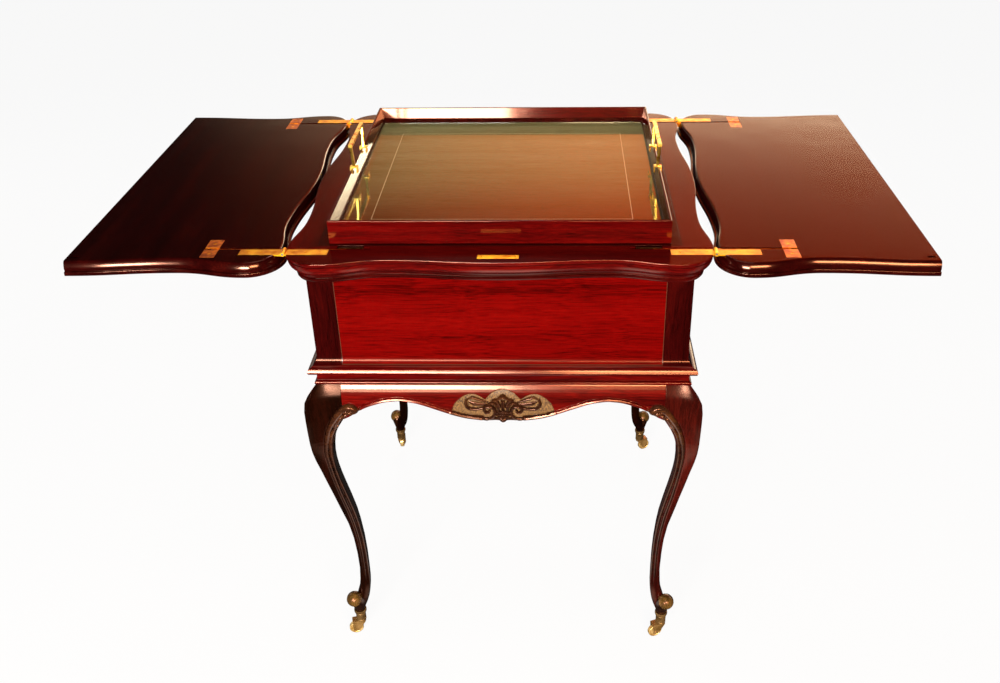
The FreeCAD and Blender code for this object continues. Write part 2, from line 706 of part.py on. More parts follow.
for side, sign in SIDES.items():
    inner = dim("rim_z")
    outer = inner - dim("leaf_thick")

    def this_leaf(inset, z, sign=sign):
        return leaf_wire(inset, z, sign)

    lip_top = outer + dim("leaf_lip")
    quirk_top = lip_top + dim("edge_quirk_high")
    leaf = stack(this_leaf, [
        (dim("edge_round"), dim("leaf_face_inset"), quirk_top, inner),
        (dim("edge_quirk"), dim("edge_quirk"), lip_top, quirk_top),
        (0.0, 0.0, outer, lip_top)])
    far = both(sign, 2 * dim("hinge_x") - dim("meeting_gap") / 2, 2 * dim("hinge_x") + 9)
    cutters = [block_shape(far, (-400, 400), (outer - 1, over))]
    for sy in (1, -1):
        eye_room = dim("bracket_x") + dim("link_high") / 2 + 3
        cutters.append(block_shape(both(sign, dim("hinge_x") - past_hinge, eye_room),
                                   both(sy, *slot_edges), (dim("groove_z"), over)))
        strap_y = both(sy, *strap_edges)
        cutters.append(block_shape(
            both(sign, dim("hinge_x") - past_hinge, dim("hinge_x") + dim("strap_length") + play), strap_y,
            (inner - dim("strap_thick"), over)))
        cutters.append(Part.makeCylinder(dim("knuckle_radius") + dim("knuckle_gap") + play,
                                         strap_y[1] - strap_y[0],
                                         Vector(sign * dim("hinge_x"), strap_y[0], dim("axis_z")),
                                         Vector(0, 1, 0)))
        plate_half = dim("bracket_length") / 2 + play
        plate_reach = dim("slot_half") + dim("bracket_width") + play
        cutters.append(block_shape(both(sign, dim("bracket_x") - plate_half, dim("bracket_x") + plate_half),
                                   both(sy, dim("link_y") - plate_reach, dim("link_y") + plate_reach),
                                   (inner - dim("bracket_thick"), over)))
        pin_reach = dim("slot_half") + dim("link_pin_hold") + play
        pin_y = both(sy, dim("link_y") - pin_reach, dim("link_y") + pin_reach)
        cutters.append(Part.makeCylinder(dim("link_pin_radius") + dim("screw_gap"), pin_y[1] - pin_y[0],
                                         Vector(sign * dim("bracket_x"), pin_y[0], dim("link_z")),
                                         Vector(0, 1, 0)))
        cutters += screw_holes([dim("hinge_x") + reach for reach in strap_reach],
                               dim("strap_y"), sign, sy)
        for away in (-1, 1):
            plate_middle = dim("link_y") + away * (dim("slot_half") + dim("bracket_width") / 2)
            cutters += screw_holes([dim("bracket_x")], plate_middle, sign, sy)
    keep_x = sign * (2 * dim("hinge_x") - dim("bolt_pitch") / 2)
    keep_half_x = dim("bolt_length") / 2 + 2 * dim("lock_play")
    keep_half_y = dim("bolt_width") / 2 + 2 * dim("lock_play")
    cutters.append(block_shape((keep_x - keep_half_x, keep_x + keep_half_x),
                               (-dim("lock_y") - keep_half_y, -dim("lock_y") + keep_half_y),
                               (inner - dim("bolt_throw") - 2, over)))
    keep(f"leaf_{side}", feature(f"leaf_{side}", leaf.cut(Part.makeCompound(cutters))))

# ---- strap hinges ----------------------------------------------------------
# Each strap is let in flush and rolled at its end into the knuckle: the rim's
# strap holds the middle of the barrel and the leaf's strap its two ends.

screws = {"rim": [], "left": [], "right": []}
fixed_straps = []
leaf_straps = {"left": [], "right": []}
bracket_sets = {"left": [], "right": []}


def screw(name, x, y):
    """A countersunk screw: a flush head and a shank down into the wood."""
    head = rod(name + "_head", "screw_head", "bracket_thick", (x, y, "rim_z - bracket_thick"))
    shank = rod(name + "_shank", "screw_shank", "screw_length", (x, y, "rim_z - screw_length"))
    joined = doc.addObject("Part::MultiFuse", name)
    joined.Shapes = [head, shank]
    hole = rod(name + "_hole", "screw_head + screw_gap", "bracket_thick + 1",
               (x, y, "rim_z - bracket_thick"))
    pilot = rod(name + "_pilot", "screw_shank + screw_gap", "screw_length + 1",
                (x, y, "rim_z - screw_length - 0.5"))
    return joined, [hole, pilot]


for end, side in CORNERS:
    sx, sy = SIDES[side], ENDS[end]
    tag = f"{end}_{side}"
    strap_z = ("rim_z - strap_thick", "rim_z")
    across = span(sy, "strap_y - strap_half", "strap_y + strap_half")
    third = span(sy, "strap_y - strap_width / 6", "strap_y + strap_width / 6")
    low_third = span(sy, "strap_y - strap_half", "strap_y - strap_width / 6 - let_in_gap")
    high_third = span(sy, "strap_y + strap_width / 6 + let_in_gap", "strap_y + strap_half")
    hinge_at = signed(sx, "hinge_x")

    def barrel(name, y):
        return rod(name, "knuckle_radius", f"({y[1]}) - ({y[0]})", (hinge_at, y[0], "axis_z"), ALONG_Y)

    def bore(name, y):
        return rod(name, "hinge_pin_radius + pin_play", f"({y[1]}) - ({y[0]}) + 2",
                   (hinge_at, f"({y[0]}) - 1", "axis_z"), ALONG_Y)

    strap_holes = {"rim": [], side: []}
    for number in range(3):
        for place_name, direction in (("rim", "-"), (side, "+")):
            spot = signed(sx, f"hinge_x {direction} (first_screw + {number} * screw_pitch)")
            made, holes = screw(f"screw_{place_name}_{tag}_{number}", spot, signed(sy, "strap_y"))
            screws[place_name].append(made)
            strap_holes[place_name] += holes

    flat = box(f"fixed_flat_{tag}",
               span(sx, "hinge_x - strap_length", "hinge_x - knuckle_radius - knuckle_gap"), across, strap_z)
    tongue = box(f"fixed_tongue_{tag}",
                 span(sx, "hinge_x - knuckle_radius - 2 * knuckle_gap", "hinge_x"), third, strap_z)
    joined = doc.addObject("Part::MultiFuse", f"fixed_joined_{tag}")
    joined.Shapes = [flat, tongue, barrel(f"fixed_barrel_{tag}", third)]
    fixed_straps.append(cut(f"fixed_strap_{tag}", joined,
                            [bore(f"fixed_bore_{tag}", third)] + strap_holes["rim"]))

    pieces = [box(f"leaf_flat_{tag}",
                  span(sx, "hinge_x + knuckle_radius + knuckle_gap", "hinge_x + strap_length"),
                  across, strap_z)]
    for word, y in (("low", low_third), ("high", high_third)):
        pieces.append(box(f"leaf_tongue_{word}_{tag}",
                          span(sx, "hinge_x", "hinge_x + knuckle_radius + 2 * knuckle_gap"), y, strap_z))
        pieces.append(barrel(f"leaf_barrel_{word}_{tag}", y))
    joined = doc.addObject("Part::MultiFuse", f"leaf_joined_{tag}")
    joined.Shapes = pieces
    leaf_straps[side].append(cut(f"leaf_strap_{tag}", joined,
                                 [bore(f"leaf_bore_{tag}", across)] + strap_holes[side]))

pins = [rod(f"pin_{end}_{side}", "hinge_pin_radius", "strap_width",
            (signed(SIDES[side], "hinge_x"),
             span(ENDS[end], "strap_y - strap_half", "strap_y + strap_half")[0], "axis_z"), ALONG_Y)
        for end, side in CORNERS]
keep("rim_hinge_straps", gather("rim_hinge_strap_set", fixed_straps))
keep("hinge_pins", gather("hinge_pin_set", pins))
keep("rim_strap_screws", gather("rim_strap_screw_set", screws["rim"]))

# ---- link brackets, link bars ----------------------------------------------

for end, side in CORNERS:
    sx, sy = SIDES[side], ENDS[end]
    tag = f"{end}_{side}"
    x = span(sx, "bracket_x - bracket_length / 2", "bracket_x + bracket_length / 2")
    near = span(sy, "link_y - slot_half - bracket_width", "link_y - slot_half")
    away = span(sy, "link_y + slot_half", "link_y + slot_half + bracket_width")
    for word, y in (("near", near), ("away", away)):
        plate = box(f"bracket_plate_{word}_{tag}", x, y, ("rim_z - bracket_thick", "rim_z"))
        middle = f"(({y[0]}) + ({y[1]})) / 2"
        made, holes = screw(f"bracket_screw_{word}_{tag}", signed(sx, "bracket_x"), middle)
        screws[side].append(made)
        bracket_sets[side].append(cut(f"bracket_{word}_{tag}", plate, holes))
    pin_y = span(sy, "link_y - slot_half - link_pin_hold", "link_y + slot_half + link_pin_hold")
    bracket_sets[side].append(rod(f"bracket_pin_{tag}", "link_pin_radius", f"({pin_y[1]}) - ({pin_y[0]})",
                                  (signed(sx, "bracket_x"), pin_y[0], "link_z"), ALONG_Y))

    link_sides = span(sy, "link_y - link_half", "link_y + link_half")
    bar = box(f"link_bar_{tag}", span(sx, "link_x", "bracket_x"), link_sides,
              ("link_z - link_high / 2", "link_z + link_high / 2"))
    eyes, bores = [], []
    for word, place_x in (("leaf", "bracket_x"), ("lift", "link_x")):
        at = signed(sx, place_x)
        eyes.append(rod(f"link_eye_{word}_{tag}", "link_high / 2", "link_thick",
                        (at, link_sides[0], "link_z"), ALONG_Y))
        bores.append(rod(f"link_bore_{word}_{tag}", "link_pin_radius + pin_play", "link_thick + 2",
                         (at, f"({link_sides[0]}) - 1", "link_z"), ALONG_Y))
    joined = doc.addObject("Part::MultiFuse", f"link_joined_{tag}")
    joined.Shapes = [bar] + eyes
    keep(f"link_{tag}", cut(f"link_cut_{tag}", joined, bores))

for side in SIDES:
    keep(f"leaf_{side}_hinge_straps", gather(f"leaf_{side}_strap_set", leaf_straps[side]))
    keep(f"leaf_{side}_link_brackets", gather(f"leaf_{side}_bracket_set", bracket_sets[side]))
    keep(f"leaf_{side}_screws", gather(f"leaf_{side}_screw_set", screws[side]))

# ---- lock in the front of the rim ------------------------------------------

plate = padded_body("lock_plate_body", [
    ("-lock_length / 2", "-lock_width / 2"), ("lock_length / 2", "-lock_width / 2"),
    ("lock_length / 2", "lock_width / 2"), ("-lock_length / 2", "lock_width / 2")], "lock_plate",
    holes=[("-lock_length / 2 + lock_hole_in", "0", "lock_hole"),
           ("lock_length / 2 - lock_hole_in", "0", "lock_hole")])
place(plate, ("0", "-lock_y", "rim_z - lock_plate"))
bolt_y = ("-lock_y - bolt_width / 2", "-lock_y + bolt_width / 2")
bolt_room_y = ("-lock_y - bolt_width / 2 - lock_play", "-lock_y + bolt_width / 2 + lock_play")
slots, bolts = [], []
for word, middle in (("left", "-bolt_pitch / 2"), ("right", "bolt_pitch / 2")):
    slots.append(box(f"bolt_slot_{word}", (f"{middle} - bolt_length / 2 - lock_play",
                                           f"{middle} + bolt_length / 2 + lock_play"),
                     bolt_room_y, ("rim_z - lock_plate - 1", "rim_z + 1")))
    bolts.append(box(f"bolt_{word}", (f"{middle} - bolt_length / 2", f"{middle} + bolt_length / 2"),
                     bolt_y, ("rim_z - bolt_below - bolt_high", "rim_z - bolt_below")))
keep("lock_plate", cut("lock_plate_cut", plate, slots))
shell = box("lock_shell", ("-lock_body / 2", "lock_body / 2"),
            ("-lock_y - lock_width / 2", "-lock_y + lock_width / 2"),
            ("rim_z - lock_depth", "rim_z - lock_plate"))
bolt_end = "bolt_pitch / 2 + bolt_length / 2 + lock_play"
hollow = box("lock_hollow", (f"-({bolt_end})", bolt_end), bolt_room_y,
             ("rim_z - bolt_below - bolt_high - lock_play", "rim_z"))
keep("lock_case", cut("lock_case_cut", shell, [hollow]))
yoke = box("bolt_yoke", ("-bolt_pitch / 2", "bolt_pitch / 2"), bolt_y,
           ("rim_z - bolt_below - bolt_high", "rim_z - bolt_below - bolt_high + yoke_high"))
lock_bolt = doc.addObject("Part::MultiFuse", "lock_bolt_fuse")
lock_bolt.Shapes = bolts + [yoke]
keep("lock_bolt", lock_bolt)

# ---- platform --------------------------------------------------------------

platform = padded_body("platform_body", [
    ("-open_x + platform_gap", "-open_y + platform_gap"),
    ("open_x - platform_gap", "-open_y + platform_gap"),
    ("open_x - platform_gap", "open_y - platform_gap"),
    ("-open_x + platform_gap", "open_y - platform_gap")], "platform_thick")
place(platform, ("0", "0", "rim_z - platform_thick"))
lugs = []
for end, side in CORNERS:
    sx, sy = SIDES[side], ENDS[end]
    tag = f"{end}_{side}"
    x = span(sx, "link_x - lug_inward", "link_x + lug_outward")
    foot = box(f"lug_foot_{tag}", x, span(sy, "open_y - platform_gap - lug_seat", "lug_outer"),
               ("rim_z - platform_thick", "rim_z - platform_thick + lug_foot"))
    upright = box(f"lug_upright_{tag}", x, span(sy, "lug_outer - lug_thick", "lug_outer"),
                  ("rim_z - platform_thick", "rim_z - lug_below"))
    lug = doc.addObject("Part::MultiFuse", f"lug_{tag}")
    lug.Shapes = [foot, upright]
    lugs.append(lug)
keep("platform", cut("platform_cut", platform, lugs))
keep("platform_lugs", gather("platform_lug_set", lugs))

# ---- tray ------------------------------------------------------------------

tray_low, tray_high = dim("tray_z"), dim("tray_top")
wall = dim("tray_wall")
soft = dim("tray_round")
tray_profile = [(0.0, tray_low), (0.0, tray_high - soft), (-soft, tray_high), (-wall + soft, tray_high),
                (-wall, tray_high - soft), (-wall, tray_low)]
keep("tray_frame", feature("tray_frame", Part.makeCompound(
    moulding(tray_profile, dim("tray_x"), dim("tray_y")))))
keep("tray_base", box("tray_base_board", ("-tray_x + tray_wall", "tray_x - tray_wall"),
                      ("-tray_y + tray_wall", "tray_y - tray_wall"), ("tray_z", "tray_z + tray_base")))
glass = padded_body("tray_glass_body", [
    ("-tray_x + tray_wall + glass_gap", "-tray_y + tray_wall + glass_gap"),
    ("tray_x - tray_wall - glass_gap", "-tray_y + tray_wall + glass_gap"),
    ("tray_x - tray_wall - glass_gap", "tray_y - tray_wall - glass_gap"),
    ("-tray_x + tray_wall + glass_gap", "tray_y - tray_wall - glass_gap")], "glass_thick")
place(glass, ("0", "0", "glass_z"))
keep("tray_glass", glass)

# ---- tray handles ----------------------------------------------------------
# A flat brass bar on two splayed legs, each ending in a collar that clasps the
# top edge of the tray's side.

for side, sign in SIDES.items():
    mid_x = dim("tray_x") - wall / 2
    top_z = tray_high + dim("handle_rise")
    out_x = mid_x + dim("handle_splay")
    half = dim("handle_length") / 2
    spacing = dim("collar_spacing") / 2
    bar_half = dim("handle_bar") / 2
    collar_top = tray_high + dim("collar_wall")
    leg_wide = dim("handle_leg")
    bar_low = top_z - dim("handle_bar_thick")
    solids = [block_shape((out_x - bar_half, out_x + bar_half), (-half, half), (bar_low, top_z))]
    for sy in (1, -1):
        low = rounded_square(mid_x, sy * spacing, collar_top - 0.5, leg_wide, 0.5)
        high = rounded_square(out_x, sy * (half - leg_wide / 2), top_z - 1, leg_wide, 0.5)
        solids.append(Part.makeLoft([low, high], True, True))
    handle = solids[0].fuse(solids[1:]).removeSplitter()
    collars = []
    for sy in (1, -1):
        y = (sy * spacing - dim("collar_width") / 2, sy * spacing + dim("collar_width") / 2)
        outside = block_shape((mid_x - wall / 2 - dim("collar_wall"), mid_x + wall / 2 + dim("collar_wall")),
                              y, (tray_high - dim("collar_drop"), collar_top))
        inside = block_shape((mid_x - wall / 2, mid_x + wall / 2), (y[0] - 1, y[1] + 1),
                             (tray_high - dim("collar_drop") - 1, tray_high))
        collars.append(outside.cut(inside).cut(handle))
    keep(f"tray_handle_{side}", feature(f"tray_handle_{side}", turned_about(handle, sign, 1)))
    keep(f"handle_collars_{side}", feature(f"handle_collars_{side}", Part.makeCompound(
        [turned_about(item, sign, 1) for item in collars])))

# ---- castors ---------------------------------------------------------------

# the castors stand as they were last pushed, each trailing its own way
TRAIL_ANGLES = {("front", "left"): 193.0, ("front", "right"): 201.0,
                ("back", "left"): 90.0, ("back", "right"): 25.0}
cups = []
for end, side in CORNERS:
    sx, sy = SIDES[side], ENDS[end]
    tag = f"{end}_{side}"
    cup = turned_body(f"castor_cup_{tag}", [
        ("stem_radius + pin_play", "0"), ("cup_radius - cup_taper", "0"),
        ("cup_radius - cup_taper", "cup_height - cup_lip"),
        ("cup_radius", "cup_height - cup_lip + cup_taper"), ("cup_radius", "cup_height"),
        ("cup_bore", "cup_height"), ("cup_bore", "cup_wall"),
        ("stem_radius + pin_play", "cup_wall")])
    place(cup, (signed(sx, "swivel_x"), signed(sy, "swivel_y"), "cup_z"))
    cups.append(cup)

    angle = TRAIL_ANGLES[(end, side)]
    swivel = Vector(sx * dim("swivel_x"), sy * dim("swivel_y"), 0)
    radius, trail = dim("wheel_radius"), dim("trail")
    half_wide = dim("wheel_width") / 2 + dim("wheel_play")
    cheek = dim("cheek")
    plate_low = dim("plate_z")
    # the top plate, the stem up into the cup, and two cheeks down to the axle
    horn_end = dim("horn_end")
    plate_end = trail + horn_end
    top_plate = block_shape((-horn_end, plate_end), (-half_wide - cheek, half_wide + cheek),
                            (plate_low, dim("horn_top")))
    collar = Part.makeCylinder(dim("horn_collar"), dim("horn_plate"), Vector(0, 0, plate_low))
    stem = Part.makeCylinder(dim("stem_radius"), dim("horn_gap") + dim("cup_wall") + dim("horn_plate"),
                             Vector(0, 0, plate_low))
    horn = top_plate.fuse([collar, stem])
    for sign in (1, -1):
        y = both(sign, half_wide, half_wide + cheek)
        outline = [(-horn_end, plate_low + 1), (plate_end, plate_low + 1),
                   (trail + dim("cheek_half"), radius - 2 * dim("axle_radius")),
                   (trail - dim("cheek_half"), radius - 2 * dim("axle_radius"))]
        corners = [Vector(x, y[0], z) for x, z in outline]
        face = Part.Face(Part.makePolygon(corners + [corners[0]]))
        horn = horn.fuse(face.extrude(Vector(0, cheek, 0)))
    long_axle = 2 * (half_wide + cheek + dim("axle_head"))
    axle_shape = Part.makeCylinder(dim("axle_radius"), long_axle, Vector(trail, -long_axle / 2, radius),
                                   Vector(0, 1, 0))
    horn = horn.cut(axle_shape).removeSplitter()
    group = Part.makeCompound([horn.Solids[0], axle_shape])
    group.rotate(Vector(), Vector(0, 0, 1), angle)
    group.translate(swivel)
    keep(f"castor_horn_{tag}", feature(f"castor_horn_{tag}", group))

    wheel = turned_body(f"castor_wheel_body_{tag}", [
        ("axle_radius + pin_play", "-wheel_width / 2"), ("wheel_radius - wheel_edge", "-wheel_width / 2"),
        ("wheel_radius", "-wheel_width / 2 + wheel_edge"), ("wheel_radius", "wheel_width / 2 - wheel_edge"),
        ("wheel_radius - wheel_edge", "wheel_width / 2"), ("axle_radius + pin_play", "wheel_width / 2")])
    heading = Rotation(Vector(0, 0, 1), angle)
    centre = swivel + heading.multVec(Vector(trail, 0, radius))
    wheel.Placement = Placement(centre, heading.multiply(Rotation(Vector(1, 0, 0), 90)))
    keep(f"castor_wheel_{tag}", wheel)
keep("castor_cups", gather("castor_cup_set", cups))

# ---- check and write -------------------------------------------------------

doc.recompute()
faults = []
for thing in doc.Objects:
    if "Invalid" in thing.State or "Error" in thing.State:
        faults.append(f"{thing.Name}: {thing.State}")
for label, thing in PARTS.items():
    if thing.Shape.isNull() or not thing.Shape.isValid() or not thing.Shape.Solids:
        faults.append(f"{label}: bad shape")
if faults:
    raise SystemExit("not built: " + "; ".join(faults))

os.makedirs("parts", exist_ok=True)
for label, thing in PARTS.items():
    thing.Shape.exportStep(f"parts/{label}.step")
print(len(PARTS), "sub-parts written,", sum(len(thing.Shape.Solids) for thing in PARTS.values()), "solids")
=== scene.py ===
import math

import bpy
import numpy as np
from mathutils import Matrix, Vector


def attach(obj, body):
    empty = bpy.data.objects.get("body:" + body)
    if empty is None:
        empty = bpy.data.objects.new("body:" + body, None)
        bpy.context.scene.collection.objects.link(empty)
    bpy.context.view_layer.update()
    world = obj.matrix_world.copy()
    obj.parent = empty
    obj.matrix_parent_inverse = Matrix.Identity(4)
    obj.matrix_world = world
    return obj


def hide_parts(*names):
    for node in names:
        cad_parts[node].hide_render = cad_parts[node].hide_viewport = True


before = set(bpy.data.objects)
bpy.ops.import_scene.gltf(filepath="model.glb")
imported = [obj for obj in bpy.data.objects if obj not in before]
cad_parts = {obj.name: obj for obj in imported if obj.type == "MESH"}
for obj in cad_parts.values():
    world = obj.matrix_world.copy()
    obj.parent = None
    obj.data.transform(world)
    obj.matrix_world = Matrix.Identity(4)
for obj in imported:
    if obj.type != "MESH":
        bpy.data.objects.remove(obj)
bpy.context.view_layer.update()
MM = 0.001

# ---- camera ----------------------------------------------------------------
# Standing height in front of the table, turned a little to its left half, and
# level but for a slight lean of the hand.

camera_data = bpy.data.cameras.new("camera")
camera = bpy.data.objects.new("camera", camera_data)
bpy.context.scene.collection.objects.link(camera)
bpy.context.scene.camera = camera
camera_data.sensor_width = 36
camera_data.lens = 36.4216
camera_data.shift_x = -0.02959
camera_data.shift_y = -0.02554
CAMERA_PLACE = Vector((79.998, -1498.374, 1358.222)) * MM
CAMERA_YAW = math.radians(1.8088)
CAMERA_PITCH_DOWN = math.radians(30.2405)
CAMERA_LEAN = math.radians(-0.8428)
camera.matrix_world = (Matrix.Translation(CAMERA_PLACE)
                       @ Matrix.Rotation(CAMERA_YAW, 4, "Z")
                       @ Matrix.Rotation(math.pi / 2 - CAMERA_PITCH_DOWN, 4, "X")
                       @ Matrix.Rotation(CAMERA_LEAN, 4, "Z"))

# ---- floor and light -------------------------------------------------------
# White paper to stand on, one wide low softbox in front as the key, a small
# one overhead, and a warm glow in the room behind that polished tops mirror.


def linear(hex_colour):
    """An sRGB hex colour as the linear red, green and blue that nodes take."""
    parts = [int(hex_colour[place:place + 2], 16) / 255 for place in (1, 3, 5)]
    return [part / 12.92 if part <= 0.04045 else ((part + 0.055) / 1.055) ** 2.4 for part in parts] + [1.0]


def node(tree, kind, links=(), stops=(), **settings):
    """Adds a node. Settings name its properties or its input sockets; links are (input, from node), with an
    output's name after them if it isn't the first, and stops are a colour ramp's (place, colour)."""
    made = tree.nodes.new("ShaderNode" + kind)
    for name, value in settings.items():
        if name.startswith("input_"):
            made.inputs[int(name[6:])].default_value = value
        elif hasattr(made, name):
            setattr(made, name, value)
        else:
            made.inputs[name.replace("_", " ")].default_value = value
    if stops:
        first, *between, last = stops
        for stop, (place, colour) in zip(made.color_ramp.elements, (first, last)):
            stop.position, stop.color = place, colour
        for place, colour in between:
            made.color_ramp.elements.new(place).color = colour
    for into, source, *output in links:
        tree.links.new(source.outputs[output[0] if output else 0], made.inputs[into])
    return made


def fresh(name, add, **settings):
    """A new primitive, with nothing else selected, named for the piece it becomes."""
    bpy.ops.object.select_all(action="DESELECT")
    add(**settings)
    made = bpy.context.active_object
    made.name = made.data.name = name
    return made


def new_material(name):
    """An empty material, its node tree, and the links that give a texture its place on the piece."""
    made = bpy.data.materials.new(name)
    made.use_nodes = True
    made.node_tree.nodes.clear()
    return made, made.node_tree, [("Vector", node(made.node_tree, "TexCoord"), "Object")]


# matt white paper: no gloss, and bright to the eye, so that only a soft shadow is left on it
paper, tree, place = new_material("matt_white_paper")
path = node(tree, "LightPath")
matt = node(tree, "BsdfPrincipled", Base_Color=linear("#b9b6b2"), Roughness=0.95, Specular_IOR_Level=0.0)
glow = node(tree, "Emission", Color=(1, 1, 1, 1), Strength=1.03)
lift = node(tree, "Math", operation="MULTIPLY", links=[(0, path, "Is Camera Ray")], input_1=0.9)
seen = node(tree, "MixShader", links=[(0, lift), (1, matt), (2, glow)])
# what polish mirrors of it is a painted glow, seen only in reflections: a pool of light under the front edge of the
# table, dark before and behind it, and under the middle of the table brighter than at its sides
where = node(tree, "SeparateXYZ", links=place)
reach = node(tree, "MapRange", links=[("Value", where, "Y")], From_Min=-1.0, From_Max=0.5)
pool = node(tree, "ValToRGB", links=[("Fac", reach)], stops=[
    (at, (grey, grey * 0.95, grey * 0.88, 1)) for at, grey in ((0.09, 0.005), (0.24, 0.9), (0.50, 0.9), (0.60, 0.03))])
aside = node(tree, "Math", operation="ABSOLUTE", links=[(0, where, "X")])
beside = node(tree, "ValToRGB", links=[("Fac", aside)], stops=[
    (at, (grey, grey, grey, 1)) for at, grey in ((0.10, 1.0), (0.19, 0.03), (0.44, 0.03), (0.58, 0.25))])
depth = node(tree, "Math", operation="MULTIPLY", links=[(0, beside)], input_1=2.2)
painted_pool_glow = node(tree, "Emission", links=[("Color", pool), ("Strength", depth)])
shown = node(tree, "MixShader", links=[(0, path, "Is Glossy Ray"), (1, seen), (2, painted_pool_glow)])
node(tree, "OutputMaterial", links=[("Surface", shown)])
floor = fresh("floor", bpy.ops.mesh.primitive_plane_add, size=14, location=(0, 2, 0))
bpy.ops.object.transform_apply(location=True, rotation=True, scale=True)
floor.data.materials.append(paper)

world = bpy.data.worlds.new("studio")
bpy.context.scene.world = world
world.use_nodes = True
world.node_tree.nodes.clear()
tree = world.node_tree
path = node(tree, "LightPath")
room = node(tree, "Background", Color=linear("#e6e1dc"), Strength=0.17)
white = node(tree, "Background", Color=(1, 1, 1, 1), Strength=1.0)
# what polish and glass mirror: a room that is dark on the left and warm on the right,
# brighter low down behind than higher up
toward = node(tree, "TexCoord")
way = node(tree, "SeparateXYZ", links=[("Vector", toward, "Generated")])
lowness = node(tree, "ValToRGB", links=[("Fac", way, "Z")],
               stops=[(high, (bright, bright * green, bright * blue, 1)) for high, bright, green, blue in
                      ((0.17, 0.1, 0.7, 0.5), (0.22, 0.8, 0.9, 0.62), (0.25, 0.8, 0.9, 0.62), (0.29, 0.14, 0.50, 0.25),
                       (0.32, 0.073, 0.26, 0.06), (0.36, 0.063, 0.15, 0.018), (0.44, 0.058, 0.065, 0.004))])
# which way counts, and how much: an axis, where the change starts and ends, and the share at each end
rightward, rearward, not_far, low, not_front = (
    node(tree, "MapRange", interpolation_type="SMOOTHSTEP", links=[("Value", way, axis)],
         From_Min=start, From_Max=end, To_Min=before, To_Max=after)
    for axis, start, end, before, after in (("X", -0.36, 0.09, 0.0, 1.0), ("Y", 0.2, 0.6, 0.0, 1.0),
                                            ("X", 0.62, 0.42, 0.08, 1.0), ("Z", 0.25, 0.14, 0.0, 0.7),
                                            ("Y", -0.5, 0.1, 0.0, 1.0)))
between = node(tree, "Math", operation="MULTIPLY", links=[(0, rightward), (1, not_far)])
sidelong = node(tree, "Math", operation="MULTIPLY", links=[(0, between), (1, rearward)])
share = node(tree, "Math", operation="MULTIPLY", links=[(0, sidelong)], input_1=19.0)
warmth = node(tree, "Background", links=[("Color", lowness), ("Strength", share)])
dim = node(tree, "Background", Color=linear("#b8a89c"), Strength=0.012)
skirting = node(tree, "Math", operation="MULTIPLY", links=[(0, low), (1, not_front)])
pale = node(tree, "Background", links=[("Strength", skirting)], Color=linear("#fff4e6"))
warm_and_dim = node(tree, "AddShader", links=[(0, warmth), (1, dim)])
behind = node(tree, "AddShader", links=[(0, warm_and_dim), (1, pale)])
mirrored = node(tree, "Math", operation="MAXIMUM", links=[(0, path, "Is Glossy Ray"), (1, path, "Is Transmission Ray")])
by_gloss = node(tree, "MixShader", links=[(0, mirrored), (1, room), (2, behind)])
seen = node(tree, "MixShader", links=[(0, path, "Is Camera Ray"), (1, by_gloss), (2, white)])
node(tree, "OutputWorld", links=[("Surface", seen)])


def softbox(name, place, aim_height, size, power, colour="#ffffff"):
    """A softbox at place, aimed at a height over the middle of the floor; in millimetres and watts."""
    data = bpy.data.lights.new(name, "AREA")
    data.shape = "RECTANGLE"
    data.size, data.size_y = size[0] * MM, size[1] * MM
    data.energy = power
    data.color = linear(colour)[:3]
    made = bpy.data.objects.new(name, data)
    bpy.context.scene.collection.objects.link(made)
    place, aim = Vector(place) * MM, Vector((0, 0, aim_height)) * MM
    made.matrix_world = Matrix.Translation(place) @ (aim - place).to_track_quat("-Z", "Y").to_matrix().to_4x4()


softbox("key_front_left", (-720, -3000, 1150), 640, (1150, 330), 160)
softbox("front_right", (800, -3000, 1500), 640, (1450, 260), 100, "#ffdcb4")
softbox("front_low", (-800, -3000, 800), 640, (1000, 300), 12)
softbox("overhead", (-100, -250, 2700), 700, (1500, 1100), 9)
softbox("high_behind", (-250, 1900, 2750), 740, (600, 450), 16)
softbox("fill_back_left", (-2600, 1500, 1300), 500, (900, 900), 10)
softbox("fill_back_right", (2600, 1500, 1300), 500, (900, 900), 10)

bpy.context.scene.view_settings.view_transform = "Standard"

# ---- legs ------------------------------------------------------------------
# Four cabriole legs, each carved from one square of mahogany with its block
# left at the top for the rails. Two beads run from a scrolled ear down the
# inner edge, and the foot curls into a ball over the castor.


